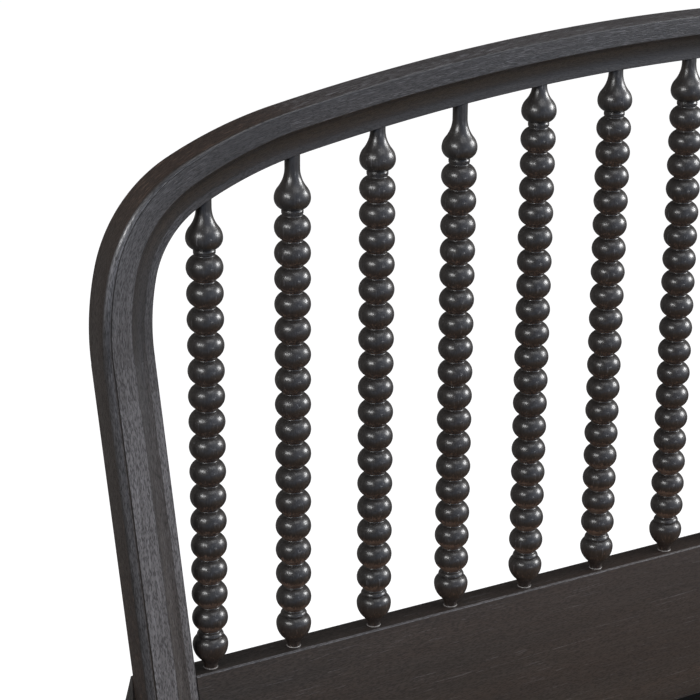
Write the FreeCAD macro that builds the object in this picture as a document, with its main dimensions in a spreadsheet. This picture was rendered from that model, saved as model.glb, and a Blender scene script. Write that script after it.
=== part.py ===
import FreeCAD, Part
import math
import os
import re
import Sketcher
from FreeCAD import Placement, Rotation, Vector

# Platform bed whose headboard is a tapered wooden hoop filled with spool-turned spindles.
# Millimetres, +Z up, floor at Z = 0, origin under the middle of the bed, headboard towards +Y.

DIMENSIONS = [
    ("mattress_width", 1524, "mattress that the bed carries, across"),
    ("mattress_length", 2032, "mattress that the bed carries, along"),
    ("mattress_gap", 6, "room around the mattress"),
    ("edge_ease", 1.5, "small bevel on sawn boards"),
    ("joint_gap", 0.2, "room around a glued or bolted round part"),
    ("seat_gap", 0.3, "room between a slat or screw-in part and what holds it"),
    ("head_width", 1678, "headboard over the hoop at its widest"),
    ("head_height", 1255, "floor to the top of the crest"),
    ("crest_radius", 3275, "outer curve over the middle of the hoop"),
    ("haunch_radius", 548, "outer curve where the crest starts to turn down"),
    ("shoulder_radius", 173, "tightest outer curve of the hoop"),
    ("swell_radius", 342, "outer curve from the shoulder into the post"),
    ("haunch_angle", 25.5, "slope where the haunch meets the shoulder, degrees"),
    ("shoulder_angle", 76.6, "slope where the shoulder meets the swell, degrees"),
    ("post_lean", 5.9, "outward lean of the posts, degrees"),
    ("hoop_thick", 44, "hoop, front to back"),
    ("crest_face", 57.8, "hoop face across the crest"),
    ("post_top_face", 65, "hoop face at the top of a post"),
    ("post_foot_face", 68.5, "hoop face at the foot of a post"),
    ("crest_flat", 24, "flat of the face and its rounded edge, at the crest"),
    ("post_top_flat", 36.5, "the same at the top of a post"),
    ("post_foot_flat", 39.5, "the same at the foot of a post"),
    ("edge_round", 6, "rounded outer front edge of the hoop"),
    ("back_round", 3, "rounded outer back edge of the hoop"),
    ("cove_depth", 12, "depth of the hollow along the hoop's inner side"),
    ("cove_lip", 5.5, "narrow flat between the hollow and the inner side"),
    ("panel_top", 518, "floor to the top of the headboard panel"),
    ("panel_height", 228, "headboard panel, top to bottom"),
    ("panel_thick", 41, "headboard panel, front to back"),
    ("spindle_count", 13, "turned spindles in the headboard"),
    ("spindle_margin", 27.9, "first and last spindle's axis to the post, at the panel's top"),
    ("bead_pitch", 31.5, "bead to bead along a spindle"),
    ("bead_diameter", 43.8, "bead across its widest"),
    ("groove_diameter", 24.6, "spindle across the groove between beads"),
    ("vase_height", 50.4, "turned foot below the first bead"),
    ("vase_diameter", 43.6, "turned foot across its widest"),
    ("vase_belly_height", 31.5, "panel to the widest of the turned foot"),
    ("vase_round", 26, "rounding of the turned foot at its widest"),
    ("foot_neck", 16, "spindle where it enters the panel"),
    ("foot_ring", 33, "ring below the first groove, across"),
    ("foot_ring_height", 8, "ring below the first groove"),
    ("drop_ring", 27.6, "ring above the last groove, across"),
    ("drop_ring_lift_height", 2.8, "last groove to that ring"),
    ("drop_ring_height", 2.4, "ring above the last groove"),
    ("ring_quirk", 1, "fine groove between a ring and its neighbour"),
    ("drop_belly_height", 19.5, "last groove to the widest of the drop"),
    ("drop_round", 20, "rounding of the drop at its widest"),
    ("drop_taper_height", 36, "widest of the drop to its straight neck"),
    ("drop_least_height", 51, "shortest drop from the last groove to the hoop"),
    ("drop_neck", 18.4, "spindle where it enters the hoop"),
    ("tenon_depth", 14, "length of a spindle's end inside the wood"),
    ("dowel_diameter", 10, "dowels in the hoop and panel joints"),
    ("dowel_length", 60, "length of a dowel, half in each piece"),
    ("dowel_spacing", 22, "the two dowels of a hoop joint, centre to centre"),
    ("dowel_inset", 24, "middle of those two from the hoop's outer side"),
    ("leg_width", 64, "headboard leg, across the bed"),
    ("leg_depth", 60, "headboard leg, front to back"),
    ("leg_top_depth", 4, "blunt top of the sloping headboard leg"),
    ("leg_slope", 23.5, "slope of the headboard leg's back, degrees from upright"),
    ("side_rail_thick", 27, "side rail"),
    ("side_rail_top", 288, "floor to the top of the side, foot and head rails"),
    ("side_rail_height", 150, "side, foot and head rails, top to bottom"),
    ("foot_rail_thick", 27, "foot rail"),
    ("head_rail_thick", 27, "head rail behind the panel"),
    ("ledger_size", 30, "square ledger inside a side rail"),
    ("foot_leg_size", 64, "foot leg, square upper part"),
    ("foot_leg_toe", 44, "foot leg, square at the floor"),
    ("slat_count", 13, "slats in the deck"),
    ("slat_top", 262, "floor to the top of the slats"),
    ("slat_thick", 20, "slat"),
    ("slat_width", 95, "slat, along the bed"),
    ("slat_end_gap", 4, "room between a slat's end and the side rail"),
    ("slat_margin", 30, "first and last slat to the ends of the deck"),
    ("beam_width", 40, "centre beam, across"),
    ("beam_height", 60, "centre beam, top to bottom"),
    ("hanger_plate", 3, "steel of the beam hangers"),
    ("hanger_depth", 40, "beam hanger, along the beam"),
    ("hanger_wing", 30, "beam hanger's screw plate beside the beam"),
    ("centre_leg_count", 3, "legs under the centre beam"),
    ("centre_leg_size", 50, "square centre leg"),
    ("leveller_stem", 10, "levelling foot, stem diameter"),
    ("leveller_reach", 45, "levelling foot, stem inside the leg"),
    ("leveller_pad", 40, "levelling foot, pad diameter"),
    ("leveller_height", 10, "levelling foot, pad height"),
    ("glide_diameter", 30, "glide under a corner leg"),
    ("glide_thick", 4, "glide under a corner leg"),
    ("bolt_diameter", 8, "bed bolt"),
    ("bolt_head", 14, "bed bolt's head across"),
    ("bolt_head_height", 6, "bed bolt's head"),
    ("bolt_reach", 55, "bed bolt beyond the leg, inside the side rail"),
    ("nut_diameter", 13, "barrel nut"),
    ("nut_length", 18, "barrel nut"),
    ("nut_depth", 40, "barrel nut behind the side rail's end"),
    ("bolt_low_height", 175, "lower bed bolt above the floor"),
    ("bolt_high_height", 256, "upper bed bolt above the floor"),
    ("screw_diameter", 6, "structural screws in legs and corners"),
    ("screw_head", 12, "structural screw's head across"),
    ("screw_head_height", 5, "structural screw's head"),
    ("screw_bite", 18, "structural screw inside the second piece"),
    ("screw_spacing", 52, "the two screws of a joint, centre to centre"),
    ("leg_screw_height", 312, "lower screw from a headboard leg into its post"),
    ("leg_screw_margin", 11, "least wood beside the middle of those screws"),
    ("corner_screw_height", 154, "lowest screw in a foot corner"),
    ("corner_screw_stagger_height", 24, "height between crossing screws of a foot corner"),
    ("slat_screw_diameter", 4.5, "slat screw"),
    ("slat_screw_head", 9, "slat screw's head across"),
    ("slat_screw_head_height", 3, "slat screw's head"),
    ("slat_screw_bite", 22, "slat screw inside the ledger"),
]

doc = FreeCAD.newDocument("PlatformBed")
sheet = doc.addObject("Spreadsheet::Sheet", "Dims")
for row, (alias, length, note) in enumerate(DIMENSIONS, start=1):
    sheet.set(f"A{row}", note)
    sheet.set(f"B{row}", str(length))
    sheet.setAlias(f"B{row}", alias)
doc.recompute()

ALIASES = re.compile(r"\b(" + "|".join(alias for alias, _, _ in DIMENSIONS) + r")\b")

# Places that several pieces share, written with the sheet's names.
BAY_HALF = "(mattress_width / 2 + mattress_gap)"
RAIL_OUTSIDE = f"({BAY_HALF} + side_rail_thick)"
BED_LENGTH = "(mattress_length + 2 * mattress_gap + foot_rail_thick + hoop_thick + leg_depth)"
LEG_BACK = f"({BED_LENGTH} / 2)"
LEG_FRONT = f"({LEG_BACK} - leg_depth)"
HOOP_MIDDLE = f"({LEG_FRONT} - hoop_thick / 2)"
HOOP_FRONT = f"({LEG_FRONT} - hoop_thick)"
FOOT_OUTSIDE = f"(-{BED_LENGTH} / 2)"
FOOT_INSIDE = f"({FOOT_OUTSIDE} + foot_rail_thick)"
RAIL_BOTTOM = "(side_rail_top - side_rail_height)"
LEDGER_TOP = "(slat_top - slat_thick)"
BEAM_BOTTOM = f"({LEDGER_TOP} - beam_height)"
PANEL_BOTTOM = "(panel_top - panel_height)"
BOLT_LINE = f"({BAY_HALF} + side_rail_thick / 2)"

X_AXIS = Vector(1, 0, 0)
Y_AXIS = Vector(0, 1, 0)
Z_AXIS = Vector(0, 0, 1)
SIDES = (("left", -1), ("right", 1))
NODES = []


def bound(expression):
    """The expression as the document reads it, with the sheet's name before each size."""
    return ALIASES.sub(r"Dims.\1", str(expression))


def size(expression):
    """The number that an expression of sheet names stands for."""
    return float(sheet.evalExpression(bound(expression)))


def count(expression):
    return int(round(size(expression)))


def frame(point, x_axis, y_axis):
    """Placement with its own X and Y directions."""
    return Placement(Vector(*point), Rotation(x_axis, y_axis, x_axis.cross(y_axis), "ZXY"))


def new_body(label):
    body = doc.addObject("PartDesign::Body", label)
    body.Label = label
    NODES.append(body)
    return body


def new_sketch(body, name, place):
    """Sketch on the body's XY plane, carried to its place by the attachment's offset."""
    sketch = body.newObject("Sketcher::SketchObject", name)
    ground = next(item for item in body.Origin.OriginFeatures if item.Role == "XY_Plane")
    sketch.AttachmentSupport = (ground, [""])
    sketch.MapMode = "FlatFace"
    sketch.AttachmentOffset = place
    return sketch


def arc_between(start, end, radius, centre_left):
    """Short arc from start to end, its centre on the left or right of the way there."""
    chord = end - start
    rise = math.sqrt(max(radius ** 2 - (chord.Length / 2) ** 2, 0.0))
    left = Vector(-chord.y, chord.x, 0).normalize()
    centre = (start + end) * 0.5 + left * (rise if centre_left else -rise)
    first, last = (start, end) if centre_left else (end, start)
    angles = [math.atan2(point.y - centre.y, point.x - centre.x) for point in (first, last)]
    return Part.ArcOfCircle(Part.Circle(centre, Z_AXIS, radius), *angles)


def outline(body, name, place, corners):
    """Closed sketch through corners (x, y), or (x, y, radius, centre_left) after an arc."""
    sketch = new_sketch(body, name, place)
    points = [Vector(size(corner[0]), size(corner[1]), 0) for corner in corners]
    starts, ends, radii = [], [], []
    for index, corner in enumerate(corners):
        start, end = points[index - 1], points[index]
        if len(corner) == 2:
            edge = sketch.addGeometry(Part.LineSegment(start, end))
            starts.append((edge, 1))
            ends.append((edge, 2))
            continue
        radius, centre_left = corner[2:]
        edge = sketch.addGeometry(arc_between(start, end, size(radius), centre_left))
        starts.append((edge, 1 if centre_left else 2))
        ends.append((edge, 2 if centre_left else 1))
        radii.append((edge, radius))
    rules, formulas = [], []
    for index, corner in enumerate(corners):
        follower = starts[(index + 1) % len(corners)]
        rules.append(Sketcher.Constraint("Coincident", *ends[index], *follower))
        formulas.append(None)
        for kind, formula in zip(("DistanceX", "DistanceY"), corner[:2]):
            rules.append(Sketcher.Constraint(kind, -1, 1, *ends[index], size(formula)))
            formulas.append(formula)
    for edge, radius in radii:
        rules.append(Sketcher.Constraint("Radius", edge, size(radius)))
        formulas.append(radius)
    for index, formula in zip(sketch.addConstraint(rules), formulas):
        if formula is not None:
            sketch.setExpression(f"Constraints[{index}]", bound(formula))
    return sketch


def pad(body, sketch, length):
    feature = body.newObject("PartDesign::Pad", f"{sketch.Name}_pad")
    feature.Profile = sketch
    feature.setExpression("Length", bound(length))
    return feature


def revolve(body, sketch):
    """Turned solid about the sketch's upright axis."""
    feature = body.newObject("PartDesign::Revolution", f"{sketch.Name}_turned")
    feature.Profile = sketch
    feature.ReferenceAxis = (sketch, ["V_Axis"])
    feature.Angle = 360
    return feature


def bore(body, name, mouth, centres, diameter, depth):
    """Round holes square to the mouth, whose Z direction points out of the wood."""
    doc.recompute()
    solid_before = body.Shape.Volume
    sketch = new_sketch(body, name, mouth)
    for x, y in centres:
        circle = sketch.addGeometry(Part.Circle(Vector(x, y, 0), Z_AXIS, size(diameter) / 2))
        rule = sketch.addConstraint(Sketcher.Constraint("Diameter", circle, size(diameter)))
        sketch.setExpression(f"Constraints[{rule}]", bound(diameter))
    pocket = body.newObject("PartDesign::Pocket", f"{name}_hole")
    pocket.Profile = sketch
    pocket.setExpression("Length", bound(depth))
    doc.recompute()
    if body.Shape.Volume >= solid_before:
        raise RuntimeError(f"{name} cuts nothing from {body.Label}")


def ease(body, feature, wanted):
    """Small bevel along the edges that are wanted."""
    doc.recompute()
    edges = [f"Edge{index}" for index, edge in enumerate(feature.Shape.Edges, start=1) if wanted(edge)]
    bevel = body.newObject("PartDesign::Chamfer", f"{feature.Name}_eased")
    bevel.Base = (feature, edges)
    bevel.setExpression("Size", bound("edge_ease"))


def board(label, low, high):
    """Sawn board between two corners, with its edges eased."""
    body = new_body(label)
    block = body.newObject("PartDesign::AdditiveBox", f"{label}_block")
    for side, start, end in zip(("Length", "Width", "Height"), low, high):
        block.setExpression(side, bound(f"{end} - ({start})"))
    for axis, start in zip("xyz", low):
        block.setExpression(f".Placement.Base.{axis}", bound(start))
    ease(body, block, lambda edge: True)
    return body


def mirrored(side, low, high):
    """Corner coordinates across the bed, in rising order on either side."""
    if side > 0:
        return low, high
    return f"-({high})", f"-({low})"


def cylinder(name, base, direction, diameter, length):
    """Round solid from its base along a direction."""
    rod = doc.addObject("Part::Cylinder", name)
    rod.setExpression("Radius", bound(f"({diameter}) / 2"))
    rod.setExpression("Height", bound(length))
    rod.Placement = Placement(base, Rotation(Z_AXIS, direction))
    return rod


def headed(name, seat, direction, shank, reach, head, head_height):
    """Bolt or screw whose head rests on the seat and whose shank runs along the direction."""
    shaft = cylinder(f"{name}_shank", seat, direction, shank, reach)
    cap = cylinder(f"{name}_head", seat - direction * size(head_height), direction, head, head_height)
    whole = doc.addObject("Part::Fuse", name)
    whole.Base = shaft
    whole.Tool = cap
    return whole


def group(label, solids):
    """Like pieces that share one node."""
    bundle = doc.addObject("Part::Compound", label)
    bundle.Label = label
    bundle.Links = solids
    NODES.append(bundle)
    return bundle


class HoopLine:
    """Outer line of the hoop's right half: tangent arcs from the crest to the post, then straight."""

    def __init__(self):
        radii = [size(f"{part}_radius") for part in ("crest", "haunch", "shoulder", "swell")]
        turn = [math.radians(size(f"{part}_angle")) for part in ("haunch", "shoulder")]
        crest, haunch, shoulder, swell = radii
        across = (haunch * math.sin(turn[0])
                  + shoulder * (math.sin(turn[1]) - math.sin(turn[0]))
                  + swell * (1 - math.sin(turn[1])))
        crest_end = math.asin((size("head_width / 2") - across) / (crest - haunch))
        self.angles = [0.0, crest_end, turn[0], turn[1], math.radians(90 + size("post_lean"))]
        self.radii = radii
        self.crest_reach = (crest - size("crest_face")) * math.sin(crest_end)
        self.centres = []
        point = Vector(0, 0, size("head_height"))
        for radius, start, end in zip(radii, self.angles, self.angles[1:]):
            centre = point - self.outward(start) * radius
            self.centres.append(centre)
            point = centre + self.outward(end) * radius
        self.post_top = point
        down = self.along(self.angles[-1])
        run = (size(PANEL_BOTTOM) - point.z) / down.z
        self.post_foot = point + down * run

    def post_line(self, height, share):
        """Distance from the bed's middle to a line of the post, whose share is 0 outside and 1 inside."""
        inward = self.outward(self.angles[-1]) * -1
        top = self.post_top + inward * size("post_top_face") * share
        foot = self.post_foot + inward * size("post_foot_face") * share
        return top.x + (foot.x - top.x) * (height - top.z) / (foot.z - top.z)

    @staticmethod
    def outward(angle):
        return Vector(math.sin(angle), 0, math.cos(angle))

    @staticmethod
    def along(angle):
        return Vector(math.cos(angle), 0, -math.sin(angle))

    def joint(self, index):
        """Point where one arc ends and the next starts."""
        return self.centres[index] + self.outward(self.angles[index + 1]) * self.radii[index]

    def shoulder_share(self, angle):
        """How far along the shoulder piece a slope angle lies, from 0 at the crest to 1 at the post."""
        spans = list(zip(self.radii[1:], self.angles[1:], self.angles[2:]))
        whole = sum(radius * (end - start) for radius, start, end in spans)
        done = sum(radius * (min(max(angle, start), end) - start) for radius, start, end in spans)
        return done / whole

    def inner_height(self, x):
        """Height of the hoop's inner side at a distance from the middle of the bed."""
        crest_inner = self.radii[0] - size("crest_face")
        if x <= self.crest_reach:
            return self.centres[0].z + math.sqrt(crest_inner ** 2 - x ** 2)
        low, high = self.angles[1], self.angles[3]
        for _ in range(60):
            angle = (low + high) / 2
            low, high = (angle, high) if self.inner_point(angle).x < x else (low, angle)
        return self.inner_point(angle).z

    def inner_point(self, angle):
        """Point of the inner side square across the hoop from a slope angle of the shoulder piece."""
        index = 1 if angle < self.angles[2] else 2
        share = self.shoulder_share(angle)
        face = size("crest_face") + share * size("post_top_face - crest_face")
        return self.centres[index] + self.outward(angle) * (self.radii[index] - face)


hoop = HoopLine()

# A headboard leg takes in both the bolts of its side rail and the screws of its post.
POST_SCREW_LINE = hoop.post_line(size("leg_screw_height + screw_spacing / 2"), 0.5)
LEG_INSIDE = f"min({RAIL_OUTSIDE} - leg_width; {POST_SCREW_LINE} - leg_screw_margin)"
LEG_OUTSIDE = f"max({RAIL_OUTSIDE}; {POST_SCREW_LINE} + leg_screw_margin)"


def hoop_frame(point, angle, side):
    """Section plane of the hoop: X runs inwards from the outer side, Y runs to the back."""
    inward = hoop.outward(angle) * -1
    centre = Vector(side * point.x, size(HOOP_MIDDLE), point.z)
    return frame(centre, Vector(side * inward.x, 0, inward.z), Y_AXIS)


def hoop_section(body, name, place, face, flat):
    """Section of the hoop: rounded outer edge, flat face, hollow, narrow lip and plain back."""
    front = "-hoop_thick / 2"
    back = "hoop_thick / 2"
    hollow = f"({face} - cove_lip - {flat})"
    hollow_radius = f"({hollow} ^ 2 + cove_depth ^ 2) / (2 * cove_depth)"
    return outline(body, name, place, [
        ("0", f"{front} + edge_round"),
        ("edge_round", front, "edge_round", True),
        (flat, front),
        (f"{face} - cove_lip", f"{front} + cove_depth", hollow_radius, False),
        (face, f"{front} + cove_depth"),
        (face, f"{back} - back_round"),
        (f"{face} - back_round", back, "back_round", True),
        ("back_round", back),
        ("0", f"{back} - back_round", "back_round", True),
    ])


def dowel_bores(body, name, place):
    """Two dowel holes in the end of a hoop piece. The place's Z direction points out of the wood."""
    middle = size("dowel_inset")
    spread = size("dowel_spacing / 2")
    bore(body, name, place, [(middle - spread, 0), (middle + spread, 0)],
         "dowel_diameter + 2 * joint_gap", "dowel_length / 2 + joint_gap")


def end_frame(point, angle, side, forward):
    """Hoop section plane whose Z direction points along the hoop, away from the crest or back to it."""
    place = hoop_frame(point, angle, side)
    along = hoop.along(angle)
    goal = Vector(side * along.x, 0, along.z) * (1 if forward else -1)
    if place.Rotation.multVec(Z_AXIS).dot(goal) > 0:
        return place
    return frame(place.Base, place.Rotation.multVec(X_AXIS), Y_AXIS * -1)


def spindle_places():
    """Number and distance from the middle of the bed of each spindle, evenly spaced between the posts."""
    edge = hoop.post_line(size("panel_top"), 1) - size("spindle_margin")
    steps = count("spindle_count") - 1
    return [(step + 1, edge * (2 * step / steps - 1)) for step in range(steps + 1)]


def bore_mortises(body, places):
    """Round mortises for the ends of spindles."""
    for number, x in places:
        start = hoop.inner_height(abs(x)) - size("tenon_depth")
        mouth = frame((x, size(HOOP_MIDDLE), start), X_AXIS, Y_AXIS * -1)
        bore(body, f"mortise_{number:02d}", mouth, [(0, 0)],
             "drop_neck + 2 * joint_gap", "2 * tenon_depth + joint_gap")


def make_crest():
    """Middle of the hoop, sawn to one long curve."""
    body = new_body("headboard_crest")
    half = hoop.angles[1]
    place = hoop_frame(Vector(0, 0, size("head_height")), 0, 1)
    section = hoop_section(body, "crest_section", place, "crest_face", "crest_flat")
    axis = new_sketch(body, "crest_centre", frame(
        (0, size(HOOP_MIDDLE), size("head_height - crest_radius")), X_AXIS, Y_AXIS))
    axis.addGeometry(Part.LineSegment(Vector(0, 0, 0), Vector(0, size("hoop_thick"), 0)))
    spin = body.newObject("PartDesign::Revolution", "crest_curve")
    spin.Profile = section
    spin.ReferenceAxis = (axis, ["Edge1"])
    spin.Midplane = True
    spin.Angle = math.degrees(2 * half)
    joint = hoop.joint(0)
    for name, side in SIDES:
        dowel_bores(body, f"crest_dowels_{name}", end_frame(joint, half, side, True))
    bore_mortises(body, [(number, x) for number, x in spindle_places()
                         if abs(x) - size("drop_neck / 2 + joint_gap") < hoop.crest_reach])


def make_shoulder(name, side):
    """Turn of the hoop, which widens from the crest down to the post."""
    body = new_body(f"headboard_shoulder_{name}")
    joint = hoop.joint(0)
    path = new_sketch(body, f"shoulder_line_{name}", frame(
        (0, size(HOOP_MIDDLE), 0), X_AXIS, Z_AXIS))
    for index, part in enumerate(("haunch", "shoulder", "swell"), start=1):
        centre, radius = hoop.centres[index], hoop.radii[index]
        ends = [math.pi / 2 - side * angle for angle in hoop.angles[index:index + 2]]
        arc = Part.ArcOfCircle(
            Part.Circle(Vector(side * centre.x, centre.z, 0), Z_AXIS, radius), min(ends), max(ends))
        edge = path.addGeometry(arc)
        rule = path.addConstraint(Sketcher.Constraint("Radius", edge, radius))
        path.setExpression(f"Constraints[{rule}]", bound(f"{part}_radius"))
    upper = hoop_section(body, f"shoulder_upper_{name}", hoop_frame(joint, hoop.angles[1], side),
                         "crest_face", "crest_flat")
    lower = hoop_section(body, f"shoulder_lower_{name}",
                         hoop_frame(hoop.post_top, hoop.angles[-1], side),
                         "post_top_face", "post_top_flat")
    sweep = body.newObject("PartDesign::AdditivePipe", f"shoulder_sweep_{name}")
    sweep.Profile = upper
    sweep.Spine = (path, ["Edge1", "Edge2", "Edge3"])
    sweep.Sections = [(lower, [""])]
    sweep.Transformation = "Multisection"
    dowel_bores(body, f"shoulder_upper_dowels_{name}", end_frame(joint, hoop.angles[1], side, False))
    dowel_bores(body, f"shoulder_lower_dowels_{name}",
                end_frame(hoop.post_top, hoop.angles[-1], side, True))
    bore_mortises(body, [(number, x) for number, x in spindle_places()
                         if x * side + size("drop_neck / 2 + joint_gap") > hoop.crest_reach])


def make_post(name, side):
    """Straight lower part of the hoop, leaning outwards and widening to its foot."""
    body = new_body(f"headboard_post_{name}")
    lean = hoop.angles[-1]
    upper = hoop_section(body, f"post_upper_{name}", hoop_frame(hoop.post_top, lean, side),
                         "post_top_face", "post_top_flat")
    lower = hoop_section(body, f"post_lower_{name}", hoop_frame(hoop.post_foot, lean, side),
                         "post_foot_face", "post_foot_flat")
    loft = body.newObject("PartDesign::AdditiveLoft", f"post_taper_{name}")
    loft.Profile = upper
    loft.Sections = [(lower, [""])]
    loft.Ruled = True
    dowel_bores(body, f"post_dowels_{name}", end_frame(hoop.post_top, lean, side, False))
    for number, height in enumerate(panel_dowel_heights(), start=1):
        inside = hoop.post_line(height, 1)
        mouth = frame((side * (inside - size("dowel_length / 2")), size(HOOP_MIDDLE), height),
                      Y_AXIS, Z_AXIS * -side)
        bore(body, f"post_panel_dowel_{name}_{number}", mouth, [(0, 0)],
             "dowel_diameter + 2 * joint_gap", "dowel_length + joint_gap")
    mouth = frame((0, size(LEG_FRONT), 0), X_AXIS, Z_AXIS * -1)
    bore(body, f"post_screws_{name}", mouth, [(side * x, -z) for x, z in leg_screw_places()],
         "screw_diameter + 2 * joint_gap", "screw_bite + joint_gap")


def panel_dowel_heights():
    return [size(f"{PANEL_BOTTOM} + panel_height * {share}") for share in (0.45, 0.85)]


def leg_screw_places():
    heights = ("leg_screw_height", "leg_screw_height + screw_spacing")
    return [(POST_SCREW_LINE, size(height)) for height in heights]


def make_panel():
    """Wide board under the spindles, cut at its ends to the lean of the posts."""
    body = new_body("headboard_panel")
    upper = str(hoop.post_line(size("panel_top"), 1) - size("joint_gap"))
    lower = str(hoop.post_line(size(PANEL_BOTTOM), 1) - size("joint_gap"))
    place = frame((0, size(f"{HOOP_MIDDLE} + panel_thick / 2"), 0), X_AXIS, Z_AXIS)
    sketch = outline(body, "panel_face", place, [
        (f"-{lower}", PANEL_BOTTOM), (lower, PANEL_BOTTOM), (upper, "panel_top"), (f"-{upper}", "panel_top")])
    plank = pad(body, sketch, "panel_thick")
    ease(body, plank, lambda edge: edge.BoundBox.ZLength < 1 < edge.BoundBox.XLength)
    mouth = frame((0, size(HOOP_MIDDLE), size("panel_top")), X_AXIS, Y_AXIS)
    bore(body, "panel_mortises", mouth, [(x, 0) for _, x in spindle_places()],
         "foot_neck + 2 * joint_gap", "tenon_depth + joint_gap")
    for name, side in SIDES:
        for number, height in enumerate(panel_dowel_heights(), start=1):
            inner_end = side * (hoop.post_line(height, 1) + size("dowel_length / 2"))
            mouth = frame((inner_end, size(HOOP_MIDDLE), height), Y_AXIS, Z_AXIS * side)
            bore(body, f"panel_dowel_{name}_{number}", mouth, [(0, 0)],
                 "dowel_diameter + 2 * joint_gap", "dowel_length + joint_gap")


def belly_round(height, swell):
    """Radius of an arc that rises by a height, swells by a distance and ends upright."""
    return f"({height} ^ 2 + {swell} ^ 2) / (2 * {swell})"


def ogee(belly, rounding, neck, rise):
    """Round belly that runs through a hollow into an upright neck.

    Gives the hollow's radius, the belly's share of the rise and the spindle's radius where the two meet.
    """
    inset = f"({belly} - {rounding})"
    hollow = (f"((({rise}) ^ 2 + ({neck} - {inset}) ^ 2 - {rounding} ^ 2)"
              f" / (2 * ({rounding} - {neck} + {inset})))")
    share = f"({rounding} / ({rounding} + {hollow}))"
    return hollow, share, f"{inset} + {share} * ({neck} + {hollow} - {inset})"


def make_spindle(number, x):
    """Spool-turned spindle: vase foot, row of beads, fine rings and a drop under the hoop."""
    body = new_body(f"spindle_{number:02d}")
    height = hoop.inner_height(abs(x)) - size("panel_top")
    low_side = hoop.inner_height(abs(x) + size("drop_neck / 2")) - size("panel_top")
    beads = math.floor(size(f"({height} - vase_height - drop_least_height) / bead_pitch"))
    groove = "groove_diameter / 2"
    swell = "(bead_diameter - groove_diameter) / 2"
    bead_round = f"((bead_pitch / 2) ^ 2 + ({swell}) ^ 2) / (2 * {swell})"
    neck = "drop_neck / 2"
    last = f"(vase_height + {beads} * bead_pitch)"
    belly = f"({last} + drop_belly_height)"
    rise = f"min(drop_taper_height; {low_side} - joint_gap - {belly})"
    drop_hollow, drop_share, drop_turn = ogee("bead_diameter / 2", "drop_round", neck, rise)
    foot_hollow, foot_share, foot_turn = ogee(
        "vase_diameter / 2", "vase_round", "foot_neck / 2", "vase_belly_height")
    quirk = f"({last} + drop_ring_lift_height + drop_ring_height + ring_quirk)"
    corners = [
        ("0", "-tenon_depth"),
        ("foot_neck / 2", "-tenon_depth"),
        ("foot_neck / 2", "0"),
        (foot_turn, f"vase_belly_height * (1 - {foot_share})", foot_hollow, False),
        ("vase_diameter / 2", "vase_belly_height", "vase_round", True),
        ("foot_ring / 2 - ring_quirk", "vase_height - foot_ring_height",
         belly_round("(vase_height - foot_ring_height - vase_belly_height)",
                     "((vase_diameter - foot_ring) / 2 + ring_quirk)"), True),
        ("foot_ring / 2", "vase_height - foot_ring_height + ring_quirk"),
        (groove, "vase_height", "foot_ring_height * 0.8", True),
    ]
    for bead in range(1, beads + 1):
        corners.append((groove, f"vase_height + {bead} * bead_pitch", bead_round, True))
    corners += [
        ("drop_ring / 2", f"{last} + drop_ring_lift_height", "drop_ring_lift_height", False),
        ("drop_ring / 2", f"{last} + drop_ring_lift_height + drop_ring_height"),
        ("drop_ring / 2 - ring_quirk", quirk),
        ("bead_diameter / 2", belly,
         belly_round(f"({belly} - {quirk})", "((bead_diameter - drop_ring) / 2 + ring_quirk)"), True),
        (drop_turn, f"{belly} + {drop_share} * {rise}", "drop_round", True),
        (neck, f"{belly} + {rise}", drop_hollow, False),
        (neck, f"{height} + tenon_depth - joint_gap"),
        ("0", f"{height} + tenon_depth - joint_gap"),
    ]
    sketch = outline(body, f"spindle_profile_{number:02d}", frame((0, 0, 0), X_AXIS, Z_AXIS), corners)
    revolve(body, sketch)
    body.Placement = Placement(Vector(x, size(HOOP_MIDDLE), size("panel_top")), Rotation())


def make_hoop_dowels():
    dowels = []
    for name, side in SIDES:
        for part, point, angle in (("crest", hoop.joint(0), hoop.angles[1]),
                                   ("post", hoop.post_top, hoop.angles[-1])):
            place = end_frame(point, angle, side, True)
            along = place.Rotation.multVec(Z_AXIS)
            for index, shift in enumerate((-0.5, 0.5), start=1):
                inset = size(f"dowel_inset + dowel_spacing * {shift}")
                start = place.multVec(Vector(inset, 0, -size("dowel_length / 2")))
                dowels.append(cylinder(f"hoop_dowel_{part}_{name}_{index}", start, along,
                                       "dowel_diameter", "dowel_length"))
    group("hoop_dowels", dowels)


def make_panel_dowels():
    dowels = []
    for name, side in SIDES:
        for number, height in enumerate(panel_dowel_heights(), start=1):
            panel_end = side * (hoop.post_line(height, 1) - size("dowel_length / 2"))
            start = Vector(panel_end, size(HOOP_MIDDLE), height)
            dowels.append(cylinder(f"panel_dowel_pin_{name}_{number}", start, X_AXIS * side,
                                   "dowel_diameter", "dowel_length"))
    group("panel_dowels", dowels)


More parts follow.
